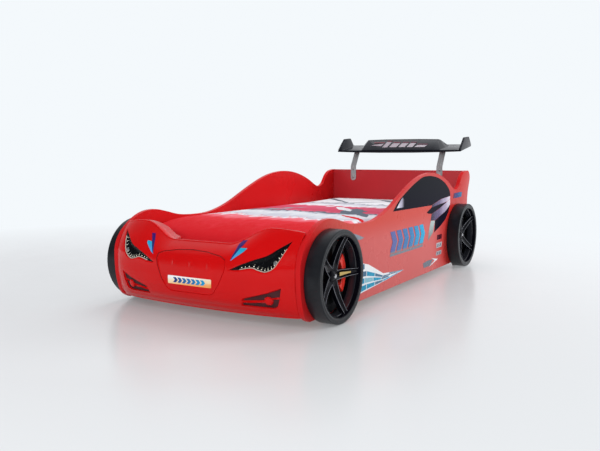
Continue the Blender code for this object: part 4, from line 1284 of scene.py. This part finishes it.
FILMS = {                   # axis, low, high (along, for Y), then the colours with their places
    "black": ("Z", 0.30, 0.57, (0.0, (0.009, 0.008, 0.018)), (1.0, (0.013, 0.014, 0.019))),
    "lilac": ("Y", 1.19, 1.50, (0.0, (0.030, 0.026, 0.060)), (0.40, (0.13, 0.10, 0.20)),
              (0.75, (0.40, 0.34, 0.48)), (1.0, (0.66, 0.61, 0.72))),
    "glare": ("Y", 0.715, 0.80, (0.0, (0.72, 0.71, 0.80)), (0.55, (0.42, 0.40, 0.52)),
              (1.0, (0.030, 0.027, 0.045))),
    "strip": ("Z", 0.21, 0.31, (0.0, (0.20, 0.24, 0.25)), (1.0, (0.42, 0.50, 0.50))),
    "slate": ("Z", 0.06, 0.34, (0.0, (0.15, 0.17, 0.21)), (1.0, (0.24, 0.27, 0.32))),
    "steel": ("Y", 0.26, 0.80, (0.0, (0.07, 0.16, 0.26)), (1.0, (0.11, 0.21, 0.31))),
    "cyan": ("Y", 0.26, 0.80, (0.0, (0.02, 0.27, 0.44)), (1.0, (0.05, 0.42, 0.66))),
    "teal": ("Y", 0.26, 0.80, (0.0, (0.24, 0.50, 0.60)), (1.0, (0.15, 0.40, 0.52))),
    "badge": ("Z", 0.10, 0.18, (0.0, (0.36, 0.34, 0.37)), (1.0, (0.48, 0.47, 0.50))),
    "white": ("Z", 0.06, 0.20, (0.0, (0.74, 0.78, 0.82)), (1.0, (0.84, 0.85, 0.86))),
    "chevron": ("Y", 0.62, 1.10, (0.0, (0.12, 0.13, 0.35)), (0.5, (0.05, 0.19, 0.44)),
                (1.0, (0.015, 0.38, 0.66))),
    "fin": ("Y", 1.58, 1.74, (0.0, (0.10, 0.01, 0.06)), (0.35, (0.015, 0.03, 0.18)),
            (1.0, (0.005, 0.14, 0.30))),
    "maroon": ("Z", 0.19, 0.23, (0.0, (0.05, 0.008, 0.02)), (1.0, (0.10, 0.01, 0.02))),
}


def make_films():
    made = {}
    for key, (axis, low, high, *stops) in FILMS.items():
        start = FRONT_Y if axis == "Y" else 0.0
        gloss = (0.14, 1.05) if key == "black" else (0.25, 1.16)
        made[key] = print_film(f"film_{key}", stops, axis, start + low, start + high, *gloss)
    return made


def sticker(name, loop, mat, sign, layer=0):
    """Printed vinyl shape on a side panel's outer face, from (along, height) places."""
    face = PANEL_OUT + VINYL_GAP + layer * (VINYL + VINYL_GAP)
    bm = loft([[(sign * x, FRONT_Y + y, z) for y, z in loop] for x in (face, face + VINYL)])
    bm.normal_update()
    bmesh.ops.triangulate(bm, faces=[f for f in bm.faces if len(f.verts) > 4])
    from_bmesh(name, bm, mat, slot="plate_print", sharp=20.0)


def make_stickers():
    film = make_films()
    for side, sign in SIDES:
        for name, loop, key, layer in SHAPES:
            sticker(f"{name}_{side}", loop, film[key], sign, layer)
        make_splash(side, sign, film)
        make_chevrons(side, sign, film)
        for k, (y, top, width, height, key, stripes) in enumerate(TAILS):
            name = f"tail_{k + 1}_{side}"
            sticker(name, leaning_bar(y, width, 0.003, top - height, top), film[key], sign)
            for n in range(stripes):
                start = y + width * (0.16 + 0.42 * n)
                bar = leaning_bar(start, width * 0.22, width * 0.08, top - height * 0.8, top - height * 0.25)
                sticker(f"{name}_bar_{n + 1}", bar, film["slate"], sign, 1)


def in_splash(t, s):
    """Place in the splash, at a share of its length and a share of the way from its top to its foot."""
    y = SPLASH_TOP[0][0] + (SPLASH_TOP[-1][0] - SPLASH_TOP[0][0]) * min(t, 0.985)
    top, low = (float(np.interp(y, *zip(*line))) for line in (SPLASH_TOP, SPLASH_LOW))
    return y, top + (low - top) * s


def make_splash(side, sign, film):
    """Tapering patch of coloured cells on white, behind the front wheel."""
    sticker(f"splash_base_{side}", SPLASH_TOP + SPLASH_LOW[::-1], film["white"], sign)
    rows, columns = len(SPLASH_ROWS), len(SPLASH_ROWS[0])
    for r, row in enumerate(SPLASH_ROWS):
        lean = 0.035 * (r % 2)
        s0, s1 = r / rows + 0.02, (r + 1) / rows - 0.05
        for c, key in enumerate(row):
            if key not in SPLASH_FILMS:
                continue
            t0 = c / columns + lean * (c > 0)
            t1 = (c + 1) / columns + lean * (c < columns - 1) - 0.012
            corners = [in_splash(t, s) for t, s in ((t0, s0), (t1, s0), (t1, s1), (t0, s1))]
            sticker(f"splash_{r + 1}_{c + 1}_{side}", corners, film[SPLASH_FILMS[key]], sign, 1)


def make_chevrons(side, sign, film):
    """Row of slanted arrow shapes with a grey shadow line, in place of lettering."""
    for k in range(CHEVRONS):
        start = CHEVRON_START + CHEVRON_PITCH * k
        loop = arrow(start, CHEVRON_WIDTH, CHEVRON_POINT, CHEVRON_LOW, CHEVRON_HIGH)
        sticker(f"chevron_{k + 1}_{side}", loop, film["chevron"], sign, 1)
        shade = [(y + 0.004, z - 0.007) for y, z in loop]
        sticker(f"chevron_shade_{k + 1}_{side}", shade, film["slate"], sign)
    start, end = CHEVRON_START, CHEVRON_START + CHEVRON_PITCH * (CHEVRONS - 1) + CHEVRON_WIDTH
    line = [(start, 0.184), (end, 0.184), (end + 0.006, 0.1965), (start, 0.1965)]
    sticker(f"chevron_line_{side}", line, film["slate"], sign)


# ---------------------------------------------------------------- bedding
PAD_LOW, PAD_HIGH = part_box("mattress")
SHOULDER_DROP, SHOULDER_REACH = 0.050, 0.30     # the mattress slopes down towards its front end
HEAD_RISE, HEAD_REACH = 0.008, 0.50             # and swells a little at its head end
PAD_SLACK, PAD_STEP = 0.0025, 0.021
PIPING_RADIUS, PIPING_IN, PIPING_CORNER = 0.0022, 0.0015, 0.048
BED_STEP = 0.0145
COVER_GAP = 0.0022
COVER_SLIDE = 0.010         # furthest that the simulation may move a point of the cover
CLOTH_THICK = 0.0014


def soft_box(low, high, radius, step, bottom=True):
    """Grid-meshed box with rounded edges and the mattress's slopes; radius is (across, up, down)."""
    low, high = np.array(low), np.array(high)
    across, up, down = radius
    reach_low, reach_high = np.array([across, across, down]), np.array([across, across, up])

    def rounded(p):
        inner = np.clip(p, low + reach_low, high - reach_high)
        reach = np.where(p < inner, reach_low, reach_high)
        out = (p - inner) / reach
        length = np.linalg.norm(out)
        return inner + reach * out / length if length > 0 else p

    bm = bmesh.new()
    for axis in range(3):
        u, v = [k for k in range(3) if k != axis]
        nu, nv = (round((high[k] - low[k]) / step) for k in (u, v))
        for end in (low, high):
            if axis == 2 and end is low and not bottom:
                continue
            grid = {}
            for i, j in np.ndindex(nu + 1, nv + 1):
                p = np.array(end, float)
                p[u] = low[u] + (high[u] - low[u]) * i / nu
                p[v] = low[v] + (high[v] - low[v]) * j / nv
                grid[i, j] = bm.verts.new(rounded(p))
            for i, j in np.ndindex(nu, nv):
                bm.faces.new((grid[i, j], grid[i + 1, j], grid[i + 1, j + 1], grid[i, j + 1]))
    bmesh.ops.remove_doubles(bm, verts=bm.verts, dist=1e-5)
    bmesh.ops.recalc_face_normals(bm, faces=bm.faces)
    for vert in bm.verts:
        vert.co.z += top_shift(vert.co.y, vert.co.z)
    return bm


def top_shift(y, z):
    """How far the bedding's shape rises at a place: down at the front end, a little up at the head end."""
    front = max(0.0, 1 - (y - PAD_LOW[1]) / SHOULDER_REACH) ** 2.2
    head = ease(1 - (PAD_HIGH[1] - y) / HEAD_REACH)
    return (HEAD_RISE * head - SHOULDER_DROP * front) * (z - PAD_LOW[2]) / (PAD_HIGH[2] - PAD_LOW[2])


def settle_cloth(obj, frames, furthest, pins=None, hits=(), gravity=1.0, **settings):
    """Run a cloth simulation on obj, then apply how far each point moved, up to a cap."""
    start = np.array([v.co[:] for v in obj.data.vertices])
    for hit in hits:
        hit.modifiers.new("hit", "COLLISION")
        hit.collision.thickness_outer = 0.001
        hit.collision.cloth_friction = 20.0
    cloth = obj.modifiers.new("cloth", "CLOTH")
    for key, value in settings.items():
        setattr(cloth.settings, key, value)
    cloth.settings.effector_weights.gravity = gravity
    cloth.collision_settings.use_collision = bool(hits)
    cloth.collision_settings.distance_min = 0.001
    if pins is not None:
        obj.vertex_groups.new(name="pins").add(pins, 1.0, "REPLACE")
        cloth.settings.vertex_group_mass = "pins"
    scene = bpy.context.scene
    for frame_number in range(1, frames + 1):
        scene.frame_set(frame_number)
    settled = obj.evaluated_get(bpy.context.evaluated_depsgraph_get())
    end = np.array([v.co[:] for v in settled.to_mesh().vertices])
    settled.to_mesh_clear()
    obj.modifiers.remove(cloth)
    for hit in hits:
        hit.modifiers.remove(hit.modifiers["hit"])
    scene.frame_set(1)
    step = end - start
    size = np.linalg.norm(step, axis=1)
    step *= (np.minimum(size, furthest) / np.maximum(size, 1e-9))[:, None]
    obj.data.vertices.foreach_set("co", (start + step).ravel())
    obj.data.update()


def edge_tube(name, loop, radius, mat, slot):
    """Round piping along a closed row of points."""
    curve = bpy.data.curves.new(name, "CURVE")
    curve.dimensions = "3D"
    curve.bevel_depth = radius
    curve.bevel_resolution = 3
    line = curve.splines.new("POLY")
    line.points.add(len(loop) - 1)
    for point, place in zip(line.points, loop):
        point.co = (*place, 1.0)
    line.use_cyclic_u = True
    shape = bpy.data.objects.new(name + "_line", curve)
    bpy.context.scene.collection.objects.link(shape)
    mesh = bpy.data.meshes.new_from_object(shape.evaluated_get(bpy.context.evaluated_depsgraph_get()))
    bpy.data.objects.remove(shape)
    mesh.materials.clear()
    mesh.materials.append(mat)
    settle(name, mesh, "bedding", slot=slot, sharp=60.0)


def make_mattress():
    """Foam mattress, puffed by a short pressure simulation, with piping round its edges."""
    s = Shader("mattress_cloth", (0.80, 0.79, 0.77), 0.85, Sheen_Weight=0.3, Sheen_Roughness=0.5)
    weave = s.node("ShaderNodeTexWave", {"Vector": s.place, "Scale": 160.0, "Distortion": 1.0},
                   bands_direction="DIAGONAL").outputs["Fac"]
    s.set("Base Color", s.mix(s.span(s.noise(40.0, 4.0), 0.3, 0.7), (0.70, 0.69, 0.68), (0.83, 0.82, 0.80)))
    s.set("Normal", s.bump(weave, 0.35, 0.0008))
    start, end = [c + PAD_SLACK for c in PAD_LOW], [c - PAD_SLACK for c in PAD_HIGH]
    bm = soft_box(start, end, (0.048, 0.050, 0.020), PAD_STEP)
    obj = from_bmesh("mattress_pad", bm, s.mat, body="bedding", nodes=["mattress"], slot="mattress_cloth",
                     sharp=70.0)
    settle_cloth(obj, 10, PAD_SLACK, gravity=0.0, use_pressure=True, uniform_pressure_force=3.0, quality=5,
                 tension_stiffness=20.0, bending_stiffness=1.0)
    modify(obj, "round", "SUBSURF", levels=1, render_levels=1)
    x0, y0, x1, y1 = (c + PIPING_IN * way for way, box in ((1, PAD_LOW), (-1, PAD_HIGH)) for c in box[:2])
    flat = resample(rounded_box(x0, x1, y0, y1, PIPING_CORNER, 8), 0.05)
    for level, z in (("top", PAD_HIGH[2] - 0.046), ("bottom", PAD_LOW[2] + 0.020)):
        ring = [(x, y, z + top_shift(y, z)) for x, y in flat]
        edge_tube(f"mattress_piping_{level}", ring, PIPING_RADIUS, s.mat, "mattress_cloth")
    return obj


# ---------------------------------------------------------------- bed cover
RED, PINK, LILAC = (0.66, 0.014, 0.021), (0.70, 0.15, 0.23), (0.55, 0.56, 0.64)
WHITE, GREY, SLATE = (0.73, 0.75, 0.79), (0.29, 0.32, 0.36), (0.12, 0.15, 0.19)
COVER_END = 1.95            # along, at the cover's head end
# The red end lightens to pink before the first white field: partly dye, partly painted sheen of glare on the
# cover's top.
COVER_FIELDS = [            # along, colour
    (0.00, RED), (0.07, RED), (0.19, (0.70, 0.022, 0.035)), (0.30, (0.80, 0.15, 0.19)),
    (0.355, (0.84, 0.24, 0.29)), (0.36, WHITE), (0.395, WHITE), (0.40, PINK), (0.415, LILAC),
    (0.60, WHITE), (0.66, LILAC), (0.70, SLATE), (0.735, SLATE), (0.74, PINK),
    (0.80, (0.58, 0.07, 0.13)), (1.12, (0.62, 0.10, 0.17)), (1.17, WHITE), (1.30, LILAC),
    (1.34, GREY), (1.37, WHITE), (1.90, WHITE),
]
COVER_STROKES = (           # across, along, angle, half length, half width, ink
    (0.18, 0.84, 0.35, 0.20, 0.075, SLATE), (-0.27, 0.82, -0.45, 0.20, 0.030, GREY),
    (0.30, 0.70, 0.60, 0.17, 0.030, SLATE), (0.06, 0.97, 0.70, 0.16, 0.035, WHITE),
    (0.34, 0.52, 0.85, 0.16, 0.020, RED), (-0.12, 1.42, -0.85, 0.24, 0.022, GREY),
    (0.20, 1.50, 0.95, 0.30, 0.030, SLATE), (0.02, 1.66, 1.10, 0.22, 0.016, GREY),
    (-0.30, 1.58, 0.80, 0.22, 0.018, SLATE), (0.33, 1.36, 0.60, 0.18, 0.020, (0.30, 0.45, 0.46)),
)


def cover_print():
    """Dyed print of the bed cover: a red end that lightens to pink towards ragged flashes, partly dye and
    partly painted sheen, then pale and red fields.
    """
    s = Shader("cover_print", (0.7, 0.06, 0.08), 0.70, IOR=1.15)

    def wander(noise, amount):
        return s.maths("MULTIPLY", s.maths("SUBTRACT", noise, 0.5), amount)

    warp = s.noise(2.6, 3.0, 0.6, s.stretched((1.0, 0.55, 1.0), (0, 0, 0.55)))
    ragged = s.noise(24.0, 2.0, 0.5, s.stretched((1.0, 0.30, 1.0), (0, 0, 0.35)))
    line = s.maths("ADD", s.maths("ADD", s.axis("Y"), -FRONT_Y), wander(warp, 0.34))
    torn = s.maths("ADD", line, wander(ragged, 0.26))
    stops = [(at / COVER_END, colour) for at, colour in COVER_FIELDS]
    colour = s.ramp(s.maths("DIVIDE", torn, COVER_END), stops)
    for x, y, angle, long, wide, ink in COVER_STROKES:
        inputs = {"Vector": s.place, "Location": (x, FRONT_Y + y, 0), "Rotation": (0, 0, angle),
                  "Scale": (wide, long, 1.0)}
        place = s.node("ShaderNodeMapping", inputs, vector_type="TEXTURE").outputs[0]
        across = s.maths("ABSOLUTE", s.axis("X", place))
        far = s.maths("POWER", s.maths("ABSOLUTE", s.axis("Y", place)), 2.0)
        edge = s.maths("ADD", s.maths("ADD", across, far), s.maths("MULTIPLY", ragged, 0.8))
        colour = s.mix(s.span(edge, 1.38, 1.30), colour, ink)
    s.set("Base Color", colour)
    threads = s.node("ShaderNodeTexChecker", {"Vector": s.place, "Scale": 1400.0}).outputs["Fac"]
    fuzz = s.bump(s.noise(320.0, 3.0), 0.25, 0.0008)
    s.set("Normal", s.bump(threads, 0.12, 0.0003, fuzz))
    s.set("Roughness", s.span(s.noise(30.0, 4.0), 0.3, 0.7, 0.62, 0.80))
    return s.mat


def make_cover(mattress):
    """Cover draped over the mattress and tucked down its sides, held along its hem."""
    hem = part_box("bed_cover")[0][2]
    start = [PAD_LOW[0] - COVER_GAP, PAD_LOW[1] - COVER_GAP, hem]
    bm = soft_box(start, [c + COVER_GAP for c in PAD_HIGH], (0.050, 0.052, 0.0001), BED_STEP, bottom=False)
    obj = from_bmesh("bed_cover_cloth", bm, cover_print(), body="bedding", nodes=["bed_cover"],
                     slot="cover_cloth", sharp=80.0)
    if sum(p.normal.z * p.area for p in obj.data.polygons) < 0:
        obj.data.flip_normals()
    pins = [v.index for v in obj.data.vertices if v.co.z < hem + 0.012]
    settle_cloth(obj, 22, COVER_SLIDE, pins, (mattress,), quality=6, mass=0.25, tension_stiffness=18.0,
                 compression_stiffness=18.0, shear_stiffness=6.0, bending_stiffness=1.5, shrink_min=-0.012)
    limit = PANEL_IN - 0.0025
    for v in obj.data.vertices:
        v.co.x = max(-limit, min(limit, v.co.x))
    modify(obj, "cloth", "SOLIDIFY", thickness=CLOTH_THICK, offset=1.0)
    modify(obj, "round", "SUBSURF", levels=1, render_levels=1)


make_camera()
make_world()
make_floor()
make_lights()
make_boards()
make_nose()
make_headlights()
make_nose_prints()
make_wheels()
make_stickers()
make_cover(make_mattress())
